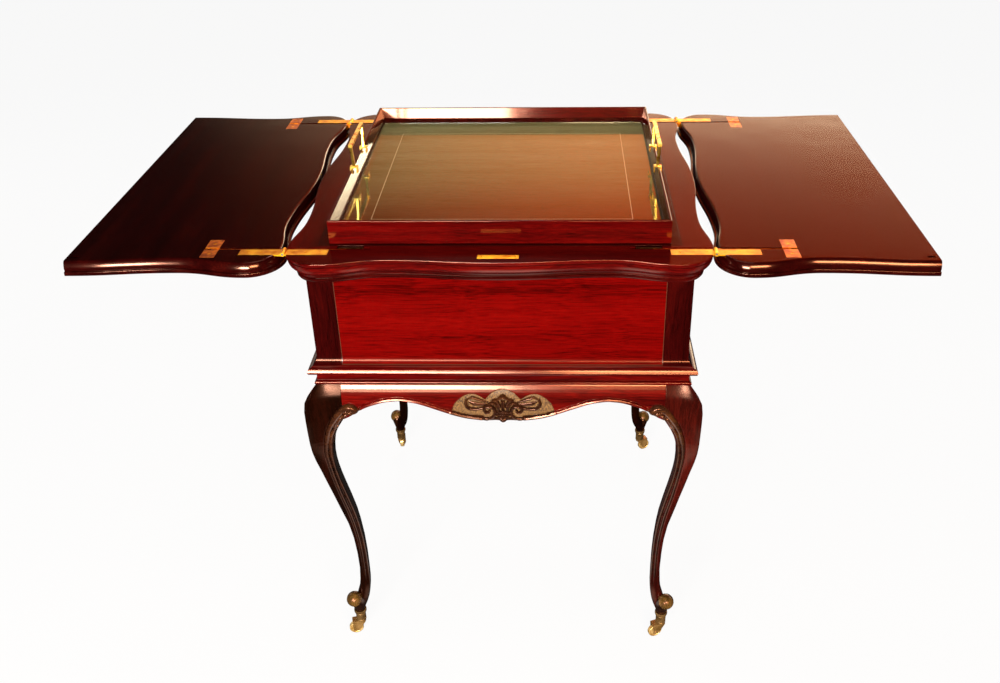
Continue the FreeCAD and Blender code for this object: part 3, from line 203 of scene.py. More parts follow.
# Cuban mahogany, stained and French polished to a high gloss: dark pore streaks along the grain, broad
# ribbons of lighter and darker wood, and over them a slightly wavy mirror
def mahogany(name, dark, middle, light, along="X", ribbon=22.0, streak=2.2, roughness=0.14, figure=0.5,
             gloss=0.5, stretch=0.07, fade=None):
    """French-polished mahogany; along is the grain's axis, ribbon and streak are widths in millimetres.
    A fade multiplies its colour by a ramp along an axis: (axis, where it starts, where it ends, stops); on the tray's
    floor it is painted shade."""
    made, tree, place = new_material(name)
    squeeze = [stretch if axis == along else 1 for axis in "XYZ"]
    grain_space = node(tree, "Mapping", links=place, Scale=squeeze)
    wander = node(tree, "TexNoise", links=place, Scale=7.0, Detail=2.0)
    shift = node(tree, "VectorMath", operation="MULTIPLY_ADD", input_1=(0.012, 0.012, 0.012),
                 links=[(0, wander, "Color"), (2, grain_space)])
    ribbons = node(tree, "TexNoise", links=[("Vector", shift)], Scale=1000 / ribbon, Detail=3.0, Roughness=0.55)
    streaks = node(tree, "TexNoise", links=[("Vector", shift)], Scale=1000 / streak, Detail=4.0, Roughness=0.6)
    tone = node(tree, "Mix", data_type="FLOAT", links=[(2, ribbons), (3, streaks)], input_0=figure)
    stain = node(tree, "ValToRGB", links=[("Fac", tone)],
                 stops=[(0.36, linear(dark)), (0.5, linear(middle)), (0.66, linear(light))])
    pores = node(tree, "TexNoise", links=[("Vector", grain_space)], Scale=1000 / 0.9, Detail=1.0)
    pore_line = node(tree, "MapRange", links=[("Value", pores)],
                     From_Min=0.30, From_Max=0.42, To_Min=0.45, To_Max=1.0)
    wood = node(tree, "Mix", data_type="RGBA", blend_type="MULTIPLY", links=[(6, stain), (7, pore_line)],
                input_0=0.55)
    if fade:
        axis, start, end, stops = fade
        where = node(tree, "SeparateXYZ", links=place)
        share = node(tree, "MapRange", links=[("Value", where, axis)], From_Min=start, From_Max=end)
        fade_ramp = node(tree, "ValToRGB", links=[("Fac", share)], stops=stops)
        wood = node(tree, "Mix", data_type="RGBA", blend_type="MULTIPLY", links=[(6, wood, 2), (7, fade_ramp)], input_0=1.0)
    wave = node(tree, "TexNoise", links=place, Scale=1000 / 60, Detail=1.0)
    polish = node(tree, "Bump", links=[("Height", wave)], Strength=0.10, Distance=0.002)
    shade = node(tree, "BsdfPrincipled", links=[("Base Color", wood, 2), ("Normal", polish)],
                 Roughness=roughness, IOR=1.5, Specular_IOR_Level=gloss, Specular_Tint=linear("#ffb290"))
    node(tree, "OutputMaterial", links=[("Surface", shade)])
    return made


# legs: grain up the leg, almost black in the shade
post_wood = mahogany("french_polished_mahogany_leg", "#080201", "#0e0301", "#1a0502", along="Z", figure=0.4,
                     roughness=0.17, gloss=0.4)
# painted light: the right front leg gets a lighter, redder copy of the legs' wood, as if more light falls on it than on
# the others
painted_lit_post_wood = mahogany("french_polished_mahogany_leg_painted_lit", "#150302", "#280503", "#3e0b06", along="Z",
                         figure=0.4, roughness=0.17, gloss=0.45)
# the crests of the carving: lighter brown, partly where the stain is rubbed off them and partly a painted highlight;
# darker from the knee down
crest_wood_worn_and_highlit = mahogany("brown_mahogany_carving_worn_and_painted_highlight", "#160904", "#2c150b", "#46260f", ribbon=14, roughness=0.2,
                       fade=("Z", 0.395, 0.455, [(0, (0.38, 0.33, 0.32, 1)), (1, (1, 1, 1, 1))]))
# the ball is browner, where feet and brooms have worn the stain off it
worn_wood = mahogany("worn_brown_mahogany_foot", "#241808", "#4a3414", "#705024", along="Z", ribbon=9, roughness=0.3)


def alone(*pieces):
    """Selects these pieces and nothing else, the first as the active one."""
    bpy.ops.object.select_all(action="DESELECT")
    for piece in pieces:
        piece.select_set(True)
    bpy.context.view_layer.objects.active = pieces[0]


def worked(piece, *steps):
    """Takes the whole mesh of a piece through edit-mode steps, each an operator and its settings."""
    alone(piece)
    bpy.ops.object.mode_set(mode="EDIT")
    for operator, settings in steps:
        bpy.ops.mesh.select_all(action="SELECT")
        operator(**settings)
    bpy.ops.object.mode_set(mode="OBJECT")


def lofted(name, sections, capped=True):
    """One skin over a row of sections, each a closed list of as many points in millimetres."""
    points = np.array(sections, float) * MM
    columns, rows = len(points) - 1, points.shape[1]
    made = fresh(name, bpy.ops.mesh.primitive_grid_add, x_subdivisions=columns, y_subdivisions=rows, size=2)
    flat = np.zeros(len(made.data.vertices) * 3)
    made.data.vertices.foreach_get("co", flat)
    column, row, _ = np.rint((flat.reshape(-1, 3).T + 1) / 2 * [[columns], [rows], [0]]).astype(int)
    made.data.vertices.foreach_set("co", points[column, row % rows].ravel())
    worked(made, (bpy.ops.mesh.remove_doubles, {"threshold": 0.005 * MM}),
           *[(bpy.ops.mesh.fill_holes, {"sides": 0})] * capped,
           (bpy.ops.mesh.normals_make_consistent, {"inside": False}))
    return made


def copy_of(piece, name):
    """A copy with a mesh of its own."""
    made = bpy.data.objects.new(name, piece.data.copy())
    made.data.name = name
    bpy.context.scene.collection.objects.link(made)
    return made


def middles(piece):
    """The middle of each face of a piece, in millimetres."""
    flat = np.empty(3 * len(piece.data.polygons))
    piece.data.polygons.foreach_get("center", flat)
    return flat.reshape(-1, 3) / MM


def clad(piece, *finishes):
    """Gives a piece these finishes and no others, the first one all over."""
    piece.data.materials.clear()
    for each in finishes:
        piece.data.materials.append(each)


def coat(piece, numbers):
    """Gives each face the finish with its number."""
    piece.data.polygons.foreach_set("material_index", np.array(numbers, np.int32))


def at_height(table, z, column=1):
    """A number from a table whose rows start with a height, at one height or many."""
    rows = np.array(sorted(table), float)
    return np.interp(z, rows[:, 0], rows[:, column])


def flow(points, steps=6):
    """A smooth line through a few given points."""
    points = np.array(points, float)
    ends = np.vstack([2 * points[0] - points[1], points, 2 * points[-1] - points[-2]])
    line = []
    for before, start, end, after in zip(ends, ends[1:], ends[2:], ends[3:]):
        for t in np.linspace(0, 1, steps, endpoint=False):
            line.append(0.5 * (2 * start + (end - before) * t + (2 * before - 5 * start + 4 * end - after) * t * t
                               + (3 * start - before - 3 * end + after) * t ** 3))
    return np.array(line + [points[-1]])


def roll(across, up, line, width, high):
    """How high a carved roll stands over each place; its width and height vary evenly along its line."""
    near = np.full(across.shape, 1e9)
    share = np.zeros(across.shape)
    count = len(line) - 1
    for number in range(count):
        (x0, y0), (x1, y1) = line[number], line[number + 1]
        dx, dy = x1 - x0, y1 - y0
        t = np.clip(((across - x0) * dx + (up - y0) * dy) / (dx * dx + dy * dy + 1e-9), 0, 1)
        away = np.hypot(across - x0 - t * dx, up - y0 - t * dy)
        closer = away < near
        near = np.where(closer, away, near)
        share = np.where(closer, (number + t) / count, share)
    half = np.interp(share, np.linspace(0, 1, len(width)), width) / 2
    top = np.interp(share, np.linspace(0, 1, len(high)), high)
    return top * np.sqrt(np.clip(1 - (near / half) ** 2, 0, 1))


def fit(piece, *nodes, body="stand_and_case", slot="mahogany", smooth=32):
    """Smooths a finished piece and hangs it on its body, in place of its plain nodes."""
    alone(piece)
    bpy.ops.object.shade_smooth_by_angle(angle=math.radians(smooth))
    flats = piece.modifiers.new("true_flats", "WEIGHTED_NORMAL")
    flats.keep_sharp = True
    apply_all(piece)
    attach(piece, body)
    if nodes:
        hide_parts(*nodes)


def apply_all(piece):
    """Applies a piece's modifiers."""
    bpy.context.view_layer.objects.active = piece
    for modifier in list(piece.modifiers):
        bpy.ops.object.modifier_apply(modifier=modifier.name)


def boolean(piece, other, operation="DIFFERENCE"):
    """Cuts another solid out of a piece, or joins it on, and takes the other away."""
    step = piece.modifiers.new("boolean", "BOOLEAN")
    step.operation = operation
    step.solver = "EXACT"
    step.object = other
    apply_all(piece)
    bpy.data.objects.remove(other)


# the leg seen from the front: height, the arris out from the middle, and the inner edge
ARRIS = [(534, 270.5), (529, 273.4), (521, 280.5), (515, 285.4), (505, 290.6), (490, 292.4), (475, 292.5),
         (459, 292.3), (446, 292), (430, 291.5), (414, 290.3), (397, 287.8), (370, 282.5), (337, 276.5),
         (316, 272.5), (290, 267.8), (244, 259), (208, 254.5), (173, 252.3), (140, 251.6), (115, 253),
         (102, 254.5), (88, 257), (50, 262)]
INNER = [(534, 238.5), (468, 238.5), (460, 243.5), (451, 249), (440, 254), (427, 258), (414, 259.8),
         (400, 260.4), (385, 259.9), (370, 258.5), (350, 255.7), (327, 251.9), (300, 247.3), (269, 242.6),
         (244, 240), (208, 237.4), (173, 236.2), (140, 236), (115, 236.2), (102, 237), (88, 238.5), (50, 246)]
BACK_ROUND = [(534, 0.4), (465, 0.5), (440, 1.5), (400, 4.0), (300, 5.5), (50, 5.5)]
FACE = [(534, 268.5), (527.5, 268.5), (526.9, 268.8), (523, 270.1), (518, 271.9), (513, 273.7), (509, 275.1),
        (506, 276.0), (502, 276.7), (497, 276.9), (480, 276.9), (462, 277.8), (446, 278.8), (424, 280.4),
        (400, 280.2), (370, 277.2), (337, 272.4), (316, 268.8), (290, 264.6), (244, 256.6), (208, 252.3),
        (173, 250.2), (140, 249.8), (115, 251), (102, 252.6), (88, 254), (50, 258)]
# the rails' face falls back sooner under the bead
RAIL_FACE = [(534, 268.5), (527.5, 268.5), (526.9, 268.9), (524, 270.4), (518.5, 272.8), (514, 274.45),
             (510, 275.5), (505, 276.2), (498, 276.6), (480, 276.9), (462, 277.8), (446, 278.8), (424, 280.4)]
# how soft the arris is, and where the face's hollow between block and arris lies (share along, share out)
SOFTNESS = [(534, 0.6), (490, 0.9), (430, 1.6), (370, 3.0), (300, 5.0), (200, 6.0), (120, 6.0), (50, 7.0)]
HOLLOW_ALONG = [(534, 0.95), (505, 0.84), (470, 0.74), (430, 0.62), (380, 0.55), (50, 0.55)]
HOLLOW_OUT = [(534, 0.02), (505, 0.08), (470, 0.30), (430, 0.60), (380, 0.85), (300, 0.95), (50, 0.95)]

# the outer bead starts as the ear's scroll and the inner one under its leaf; then both keep to the inner edge
OUTER_BEAD = flow([(221.0, 483.6), (224.0, 487.4), (229.0, 489.0), (235.4, 486.8), (243.2, 479.4), (250.4, 470.5),
                   (256.6, 460.5), (262.0, 448.9), (266.2, 435), (268.4, 420.9), (269, 406.9), (268.2, 392.6),
                   (265.2, 362.1), (259.6, 318.7), (252.2, 273.4), (248.6, 244), (245.2, 208), (243.6, 173),
                   (243.5, 140), (243.8, 112)], 5)
INNER_BEAD = flow([(250.2, 455), (254.8, 448.6), (258.8, 441.2), (261.4, 430.4), (262.6, 417.5), (263.0, 403.4),
                   (262.3, 389.1), (259.2, 358.1), (252.4, 316.7), (245.6, 273.5), (242.5, 244), (239.8, 208),
                   (238.5, 173), (238.4, 140), (238.7, 112)], 5)
EAR_RIBS = [[(231.8, 476.6), (236.3, 474), (241.3, 467.4)], [(239.6, 474.6), (245, 467.6), (248.6, 458.8)],
            [(246.6, 467.6), (251.4, 460.4), (253.6, 451.8)]]
EAR_BODY = [(221.5, 478.6), (228.5, 478.4), (236, 479.6)]
EAR_START = 212


def ear(across, up):
    """The carving that block, rail end and leg share: the ear's scroll, its leaf and the two beads."""
    outer_wide = np.array((12.0, 11.6, 10.0, 8.4, 7.0, 6.0, 5.2, 4.6, 4.2, 3.8, 3.5, 3.2))
    inner_wide = np.array((3.0, 5.4, 5.6, 5.0, 4.6, 4.2, 3.8, 3.2))
    relief = roll(across, up, OUTER_BEAD, outer_wide, (7.0, 7.0, 6.0, 4.8, 3.8, 3.1, 2.6, 2.2, 1.9, 1.7, 1.4, 0.1))
    parts = [roll(across, up, INNER_BEAD, inner_wide, (1.2, 2.3, 2.2, 1.9, 1.7, 1.4, 1.2, 0.1)),
             roll(across, up, EAR_BODY, (5.0, 8.0, 4.6), (2.6, 4.2, 2.2))]
    parts += [roll(across, up, flow(rib), (2.6, 5.2, 3.4), (1.8, 3.4, 2.0)) for rib in EAR_RIBS]
    for part in parts:
        relief = np.maximum(relief, part)
    # a quirk cut beside each bead
    fade = (1, 1, 1, 1, 1, 1, 1, 1, 0.9, 0.8, 0.7, 0)
    trench = np.maximum(roll(across, up, OUTER_BEAD, outer_wide + 2.4, fade),
                        roll(across, up, INNER_BEAD, inner_wide + 2.0, (1, 1, 1, 1, 1, 0.9, 0.8, 0)))
    return np.where(relief > 0, relief, -0.9 * trench)


def bend(start, pull, end, count):
    """Points along a curve from start to end, drawn towards pull; the start is left out."""
    t = np.linspace(0, 1, count + 1)[1:, None]
    return (1 - t) ** 2 * start + 2 * t * (1 - t) * pull + t * t * end


FACE_STEPS, TIP_SOFT = 40, 1.0


def leg_half(z):
    """Half a section of the leg, from its inner corner along the front face to the arris."""
    edge, inner, face, soft, back = (at_height(table, z) for table in (ARRIS, INNER, FACE, SOFTNESS, BACK_ROUND))
    corner = np.array([inner, inner])
    tip = np.array([inner, face])
    arris = np.array([edge, edge])
    middle = tip + (at_height(HOLLOW_ALONG, z) * (edge - inner), at_height(HOLLOW_OUT, z) * (edge - face))
    front = np.vstack([tip, bend(tip, middle, arris, 80)])
    run = np.r_[0, np.cumsum(np.hypot(*np.diff(front, axis=0).T))]
    where = np.linspace(TIP_SOFT, run[-1] - min(soft, 0.3 * run[-1]), FACE_STEPS)
    face_line = np.column_stack([np.interp(where, run, part) for part in front.T])
    inner_start = corner + (0, back + 1)
    inner_end = tip - (0, TIP_SOFT)
    side = inner_start + np.linspace(0, 1, 6)[:, None] * (inner_end - inner_start)
    heart = corner + 0.3 * back
    first = bend(heart, corner + (0, 0.3 * back), inner_start, 5)
    round_tip = bend(inner_end, tip, face_line[0], 3)[:-1]
    last = face_line[-1]
    round_arris = bend(last, arris, last[::-1], 8)[:4]
    return np.vstack([heart, first[:-1], side, round_tip, face_line, round_arris])


# where the shin turns into the round of the foot: height, share of the round, its middle and its radius
TOE = [(118, 0.0, 243.8, 9.5), (104, 0.25, 245.6, 9.8), (92, 0.6, 248.2, 10.6), (80, 0.9, 250.8, 11.0),
       (70, 1.0, 253.6, 10.6), (62, 1.0, 256.2, 9.6), (57, 1.0, 257.2, 8.9), (50, 1.0, 257.5, 8.5)]


def leg_section(z):
    """A whole section of the leg: two carved halves, that turn into a round towards the foot."""
    half = leg_half(z)
    half[:, 1] += ear(half[:, 0], np.full(len(half), z)) * (half[:, 1] > at_height(FACE, z) - 0.9)
    ring = np.vstack([half, half[-2:0:-1, ::-1]])
    if z < TOE[0][0]:
        blend, centre, radius = (at_height(TOE, z, column) for column in (1, 2, 3))
        heading = np.arctan2(ring[:, 1] - ring[:, 1].mean(), ring[:, 0] - ring[:, 0].mean())
        circle = centre + radius * np.column_stack([np.cos(heading), np.sin(heading)])
        ring = (1 - blend) * ring + blend * circle
    return np.column_stack([ring, np.full(len(ring), z)])


LEG_FOOT, CUP_TOP, TENON_SHARE = 31.5, 53.6, 0.66
SWIVEL = 257.5  # the castor's middle, out from the table's on both axes
heights = np.r_[534, 527, np.arange(525, 395, -1.6), np.arange(395, 120, -3.2), np.arange(120, 56, -2.0), 54.2]
leg_sections = [leg_section(z) for z in heights]
shoulder = leg_sections[-1][:, :2]
for z, share in ((CUP_TOP, 1), (CUP_TOP, TENON_SHARE), (LEG_FOOT, TENON_SHARE)):
    leg_sections.append(np.column_stack([SWIVEL + (shoulder - SWIVEL) * share, np.full(len(shoulder), z)]))
leg = lofted("leg_carved", leg_sections)

# the ball of the foot: a turned-over scroll with a shallow spiral cut in each cheek
BALL_AT, BALL_HEIGHT, BALL_RADIUS, SPIRAL_PITCH = 263.4, 81.5, 13.2, 4.8
BALL_MIDDLE = Vector((BALL_AT, BALL_AT, BALL_HEIGHT))
ball = fresh("ball", bpy.ops.mesh.primitive_uv_sphere_add, segments=64, ring_count=40, radius=1)
for vertex in ball.data.vertices:
    out = (vertex.co.x + vertex.co.y) / math.sqrt(2)
    along = (vertex.co.x - vertex.co.y) / math.sqrt(2)
    away = math.hypot(out, vertex.co.z) * BALL_RADIUS
    groove = math.cos(2 * math.pi * away / SPIRAL_PITCH - math.atan2(vertex.co.z, out))
    depth = 0.5 * max(0.0, groove) * min(1.0, max(0.0, (abs(along) - 0.25) * 3))
    vertex.co = (vertex.co * (BALL_RADIUS - depth) + BALL_MIDDLE) * MM
boolean(leg, ball, "UNION")
# under it the foot narrows to the cup: height, radius, and how far out its middle lies
NECK = [(54.2, 8.7, 257.5), (57, 9.2, 257.6), (62, 10.2, 257.9), (67, 11.4, 258.4), (72, 12.3, 259.2),
        (77, 12.6, 260.2), (82, 11.8, 261.2), (86, 10.0, 262.2), (89, 7.5, 263.0)]
turns = np.linspace(0, 2 * math.pi, 49)[:-1]
boolean(leg, lofted("foot_neck", [[(at + radius * math.cos(a), at + radius * math.sin(a), z) for a in turns]
                                  for z, radius, at in NECK]), "UNION")
# two curled leaves on each side of the foot, that carry the shin over the ball
DIAGONAL = 0.7071
for along, low, high, size in ((-1, 66, 84, 3.6), (1, 66, 84, 3.6), (-1, 61, 76, 3.0), (1, 61, 76, 3.0)):
    sections = []
    for t in np.linspace(0, 1, 9):
        out = 248 + 9.5 * (1 - t)
        spread = along * (7.4 + 0.6 * math.sin(math.pi * t))
        radius = size * (0.35 + 0.65 * math.sin(math.pi * (0.12 + 0.8 * t)))
        turns = np.linspace(0, 2 * math.pi, 17)[:-1]
        outward, aside = radius * np.cos(turns), spread + 0.55 * radius * np.sin(turns)
        sections.append(np.column_stack([out + DIAGONAL * (outward - aside), out + DIAGONAL * (outward + aside),
                                         low + (high - low) * t + 0.5 * outward]))
    boolean(leg, lofted("curled_leaf", sections), "UNION")

POST, WORN, CREST_COAT = range(3)
clad(leg, post_wood, worn_wood, crest_wood_worn_and_highlit)
centres = middles(leg)
x, y, z = centres.T
proud = ear(np.minimum(x, y), z)
outside = np.maximum(x, y) > at_height(FACE, z)
# the carving's crests take the crest wood: rubbed lighter, and partly a painted highlight
coats = np.where((proud > 0.4) & outside, CREST_COAT, POST)
coats[np.linalg.norm(centres - BALL_MIDDLE, axis=1) < BALL_RADIUS + 0.1] = WORN
# the neck under the ball takes the crest wood too, with its painted highlight
neck_middle = at_height(NECK, z, 2)
from_neck = np.hypot(x - neck_middle, y - neck_middle)
coats[(abs(from_neck - at_height(NECK, z)) < 0.25) & (z < NECK[-1][0] + 1)] = CREST_COAT
coat(leg, coats)
for side, across in (("right", 1), ("left", -1)):
    for end, depth in (("back", 1), ("front", -1)):
        carved = copy_of(leg, f"leg_carved_{end}_{side}")
        carved.data.transform(Matrix.Diagonal((across, depth, 1, 1)))
        if across * depth < 0:
            carved.data.flip_normals()
        # painted light: the right front leg takes the lighter copy of the wood
        if (side, end) == ("right", "front"):
            carved.data.materials[POST] = painted_lit_post_wood
        fit(carved, f"leg_{end}_{side}", smooth=40)
bpy.data.objects.remove(leg)

# ---- rails -----------------------------------------------------------------
# Four shaped rails tenoned between the legs' blocks, cushioned under the top
# bead and edged with a bead along their curved foot. The front one carries a
# carved cartouche: three sunk lobes, two volutes, leafy arms and a fanned bud.

RAIL_FOOT = flow([(0, 464.6), (10, 466), (22, 465.6), (35, 467.1), (57, 470.4), (81, 477.6), (100, 485.1),
                  (119, 492.5), (133, 496.7), (152, 499.6), (161, 499.3), (175, 497.5), (189, 493.3),
                  (204, 487.4), (219, 478.5), (228, 471.9), (238.5, 466.4)])
RAIL_TOP, RAIL_BACK, RAIL_HALF = 534.0, 248.5, 238.5
FIELD_TOP = np.array([(0, 519.5), (9, 517.6), (17, 513.4), (23, 507), (26, 502.8), (29, 505), (33, 508), (40, 511.4),
                      (48, 512.4), (56, 510), (64, 504), (70.7, 496.6), (74.5, 488), (77, 478)])
FIELD_HALF = 77
# the cartouche's rolls on its right half: line, widths, heights
VOLUTE = [(33, 470.4), (26, 468.4), (18.5, 469.6), (13.2, 474.6), (12.0, 481.6), (14.6, 488), (20.2, 491),
          (25.9, 489.2), (28.0, 484.4), (25.6, 480), (21.6, 479.8), (20, 483)]
CARVED_ROLLS = [
    (VOLUTE, (3.6, 4.4, 5.6, 6.0, 5.4, 4.6, 4.2), (1.8, 2.6, 4.0, 4.6, 4.4, 3.8, 3.4)),
    ([(21, 495), (15.5, 496.6), (10.4, 493.6), (7.4, 487.8), (6.6, 482)], (3.0, 4.8, 4.6, 3.4),
     (2.6, 4.2, 3.6, 2.4)),
    ([(15, 500.6), (10.4, 501.4), (6.6, 496), (4.4, 488)], (3.4, 5.0, 4.4, 2.8), (2.6, 4.4, 3.6, 2.4)),
    ([(6.6, 503.2), (0, 507.2), (-6.6, 503.2)], (4.6, 7.6, 4.6), (3.0, 4.8, 3.0)),
    ([(1.6, 499.6), (1.1, 483)], (3.6, 2.4), (3.2, 2.4)),
    ([(11, 478.4), (6, 480.4), (0, 481.2), (-6, 480.4)], (2.4, 3.2, 3.4, 3.2), (2.6, 3.8, 4.0, 3.8)),
    ([(9.6, 474.8), (5, 477), (0, 477.8), (-5, 477)], (2.2, 3.0, 3.2, 3.0), (2.6, 3.8, 4.2, 3.8)),
    ([(8, 471.4), (4, 473.6), (0, 474.3), (-4, 473.6)], (2.2, 3.0, 3.2, 3.0), (2.6, 3.8, 4.2, 3.8)),
    ([(3.4, 469.4), (0, 468.2), (-3.4, 469.4)], (7.0, 8.4, 7.0), (3.4, 4.6, 3.4)),
    ([(20, 492.6), (27.4, 488.8), (36.9, 485.8), (46.4, 485.6), (52.2, 488.6), (55, 494.6), (53.6, 501.4)],
     (3.4, 4.4, 5.4, 6.0, 5.6, 5.0, 3.6), (2.4, 2.6, 2.6, 2.8, 3.4, 4.2, 3.0)),
    ([(22.5, 498), (30, 500.2), (38, 503.2), (45, 505.6), (51, 503)], (3.0, 4.6, 5.4, 5.0, 3.0),
     (1.6, 2.2, 2.4, 2.2, 1.2)),
    ([(25, 494.4), (34, 494), (43, 495.4), (49, 498)], (4.6, 7.4, 7.6, 4.4), (1.4, 1.9, 1.8, 1.0)),
]

# the punched ground of the carving: no gloss, and filled with old wax
ground_wood, tree, place = new_material("matted_ground_with_old_wax")
wax = node(tree, "TexNoise", links=place, Scale=1000 / 1.6, Detail=3.0)
tone = node(tree, "ValToRGB", links=[("Fac", wax)], stops=[(0.4, linear("#342010")), (0.62, linear("#7c5a30"))])
shade = node(tree, "BsdfPrincipled", links=[("Base Color", tone)], Roughness=0.5, Specular_IOR_Level=0.3)
node(tree, "OutputMaterial", links=[("Surface", shade)])


def both_ways(name, *tones, **finish):
    """The same mahogany with its grain along X and along Y, for the lengths of a frame."""
    return {axis: mahogany(f"{name}_{axis.lower()}", *tones, along=axis, **finish) for axis in "XY"}


# the rails' polish is softer than the top's, so that lamps smear into a glow on it
apron_wood = both_ways("worn_polish_mahogany_rail", "#220202", "#460403", "#640704", roughness=0.16)


def cartouche(across, up, foot):
    """Depth of the carving over the plain rail."""
    x = np.abs(across)
    tops = np.interp(x, *FIELD_TOP.T)
    inside = np.clip(np.minimum((tops - up), (FIELD_HALF + 0.5 - x) * 1.4) / 1.1, 0, 1) * (up > foot + 1.5)
    # a matted ground: rows of small punch marks
    matting = 0.22 * np.sin(across * 3.6 + 1.1 * np.sin(up * 0.9)) * np.sin(up * 3.5 + 1.3 * np.sin(across * 0.7))
    relief = inside * (-2.0 + matting)
    for line, width, high in CARVED_ROLLS:
        carved = 1.25 * roll(x, up, flow(line), width, high)
        relief = np.where(carved > 0.02, np.maximum(relief, carved - 1.9 * inside), relief)
    return relief


def rail(name, carved):
    """A rail in front of the middle, seen from -Y; its ends join the legs' blocks."""
    middle_part = [np.linspace(0, 78, 118), np.linspace(80, 198, 54)] if carved else [np.linspace(0, 198, 70)]
    columns = np.r_[(*middle_part, np.linspace(199, RAIL_HALF, 44 if carved else 40))]
    columns = np.r_[-columns[:0:-1], columns]
    share = np.r_[0, np.linspace(0.004, 1, 96 if carved else 64)]
    foot = np.interp(np.abs(columns), *RAIL_FOOT.T)[:, None]
    across = np.repeat(columns[:, None], len(share), 1)
    up = foot + share * (RAIL_TOP - foot)
    # the bead along the foot dies into the ear at each end and into the volutes in the middle
    above = up - foot
    away = above / np.sqrt(1 + np.gradient(foot[:, 0], columns)[:, None] ** 2)
    bead = 2.3 * np.interp(away, (0, 0.4, 1.0, 1.7, 2.3, 5.0, 5.3), (0.2, 0.62, 0.9, 1.0, 0.97, 0.48, 0))
    start, end = 26 if carved else -9, EAR_START + 4
    fade = np.clip((np.abs(across) - start) / 6, 0, 1) * np.clip((end - np.abs(across)) / 5, 0, 1)
    quirk = -1.2 * np.exp(-((away - 6.1) / 0.8) ** 2)
    relief = (bead + quirk) * fade
    carving = ear(np.abs(across), up)
    relief = np.where((np.abs(across) > EAR_START) & (carving != 0),
                      np.where(carving > 0, np.maximum(relief, carving), carving), relief)
    if carved:
        carving = cartouche(across, up, foot)
        on_bead = away <= 5.2
        sunk = np.minimum(relief, 0.4) + carving * ~on_bead + bead * fade * on_bead
        relief = np.where(np.abs(across) < FIELD_HALF + 2,
                          np.where(carving > 0, np.maximum(relief, carving), sunk), relief)
    # the foot is turned under a little
    face = at_height(RAIL_FACE, up) + relief - 1.1 * np.clip(1 - above / 1.2, 0, 1)
    return lofted(name, [[(x, -y, z) for y, z in zip(face[k], up[k])]
                         + [(x, -RAIL_BACK, RAIL_TOP), (x, -RAIL_BACK, foot[k, 0])] for k, x in enumerate(columns)])


def crests_worn_and_highlit(piece, slot, half_field):
    """Gives the carving's crests, at the ends and within half_field of the middle, the finish in this slot: stain
    rubbed off them, and a painted highlight.
    """
    x, y, z = middles(piece).T
    x, proud = abs(x), -y - at_height(RAIL_FACE, z)
    in_field = (x < half_field) & (z < np.interp(x, *FIELD_TOP.T))
    crest = (in_field | ((x > EAR_START) & (proud > 0.6))) & (proud > -1.2)
    coat(piece, [slot if high and face.material_index == 0 else face.material_index
                 for high, face in zip(crest, piece.data.polygons)])


front_rail = rail("rail_front_carved", True)
clad(front_rail, apron_wood["X"], ground_wood, crest_wood_worn_and_highlit)
x, y, z = middles(front_rail).T
facing = np.array([face.normal.y for face in front_rail.data.polygons]) < -0.3
coat(front_rail, (abs(x) < FIELD_HALF) & (-y < at_height(RAIL_FACE, z) - 1.2)
     & (z > np.interp(abs(x), *RAIL_FOOT.T) + 3) & facing)
crests_worn_and_highlit(front_rail, 2, FIELD_HALF)
fit(front_rail, "apron_front", smooth=50)
for name, turn in (("back", 180), ("left", -90), ("right", 90)):
    plain = rail(f"rail_{name}_shaped", False)
    clad(plain, apron_wood["X" if name == "back" else "Y"], crest_wood_worn_and_highlit)
    crests_worn_and_highlit(plain, 1, 0)
    plain.data.transform(Matrix.Rotation(math.radians(turn), 4, "Z"))
    fit(plain, "apron_" + name, smooth=50)

# ---- stand bead and base moulding ------------------------------------------
# Lengths of moulding, mitred round the stand and the case: a half-round bead on
# the stand, and over it the case's plinth with a round nose and a hollow that
# runs up into the flared veneer.

# each side of a square frame: the axis its length runs along, and which way it faces
SIDES = {"front": ("X", -1), "back": ("X", 1), "left": ("Y", -1), "right": ("Y", 1)}
# mouldings and rim: plain straight grain, deep red-brown
rail_wood = both_ways("french_polished_mahogany_rail", "#220202", "#400303", "#5c0704")


def joined(name, pieces):
    """Makes several pieces one mesh, under this name."""
    alone(*pieces)
    bpy.ops.object.join()
    pieces[0].name = pieces[0].data.name = name
    return pieces[0]


def mitred_length(name, side, profile, half_x, half_y):
    """One side's length round a rectangle, mitred; the profile is (out from the rectangle, height)."""
    axis, facing = SIDES[side]
    sections = []
    for end in (-1, 1):
        across, depth = (end, facing) if axis == "X" else (facing, end)
        sections.append([(across * (half_x + out), depth * (half_y + out), z) for out, z in profile])
    made = lofted(f"{name}_{side}", sections)
    clad(made, rail_wood[axis])
    return made


def mitred(name, profile, half_x, half_y):
    """All four lengths of a moulding, as one piece."""
    return joined(name, [mitred_length(name, side, profile, half_x, half_y) for side in SIDES])


def arc(centre, wide, tall, start, end, count):
    """Points of a round or an oval, in degrees, as (out, height)."""
    angles = np.radians(np.linspace(start, end, count + 1))
    return [(centre[0] + wide * math.cos(a), centre[1] + tall * math.sin(a)) for a in angles]


CASE_X, CASE_Y = 268.5, 268.5
bead_profile = [(0.2, 534), (0.2, 527)] + arc((3.4, 530.4), 3.5, 3.3, -90, 90, 10)
fit(mitred("stand_bead_round", bead_profile, CASE_X, CASE_Y), "stand_bead")

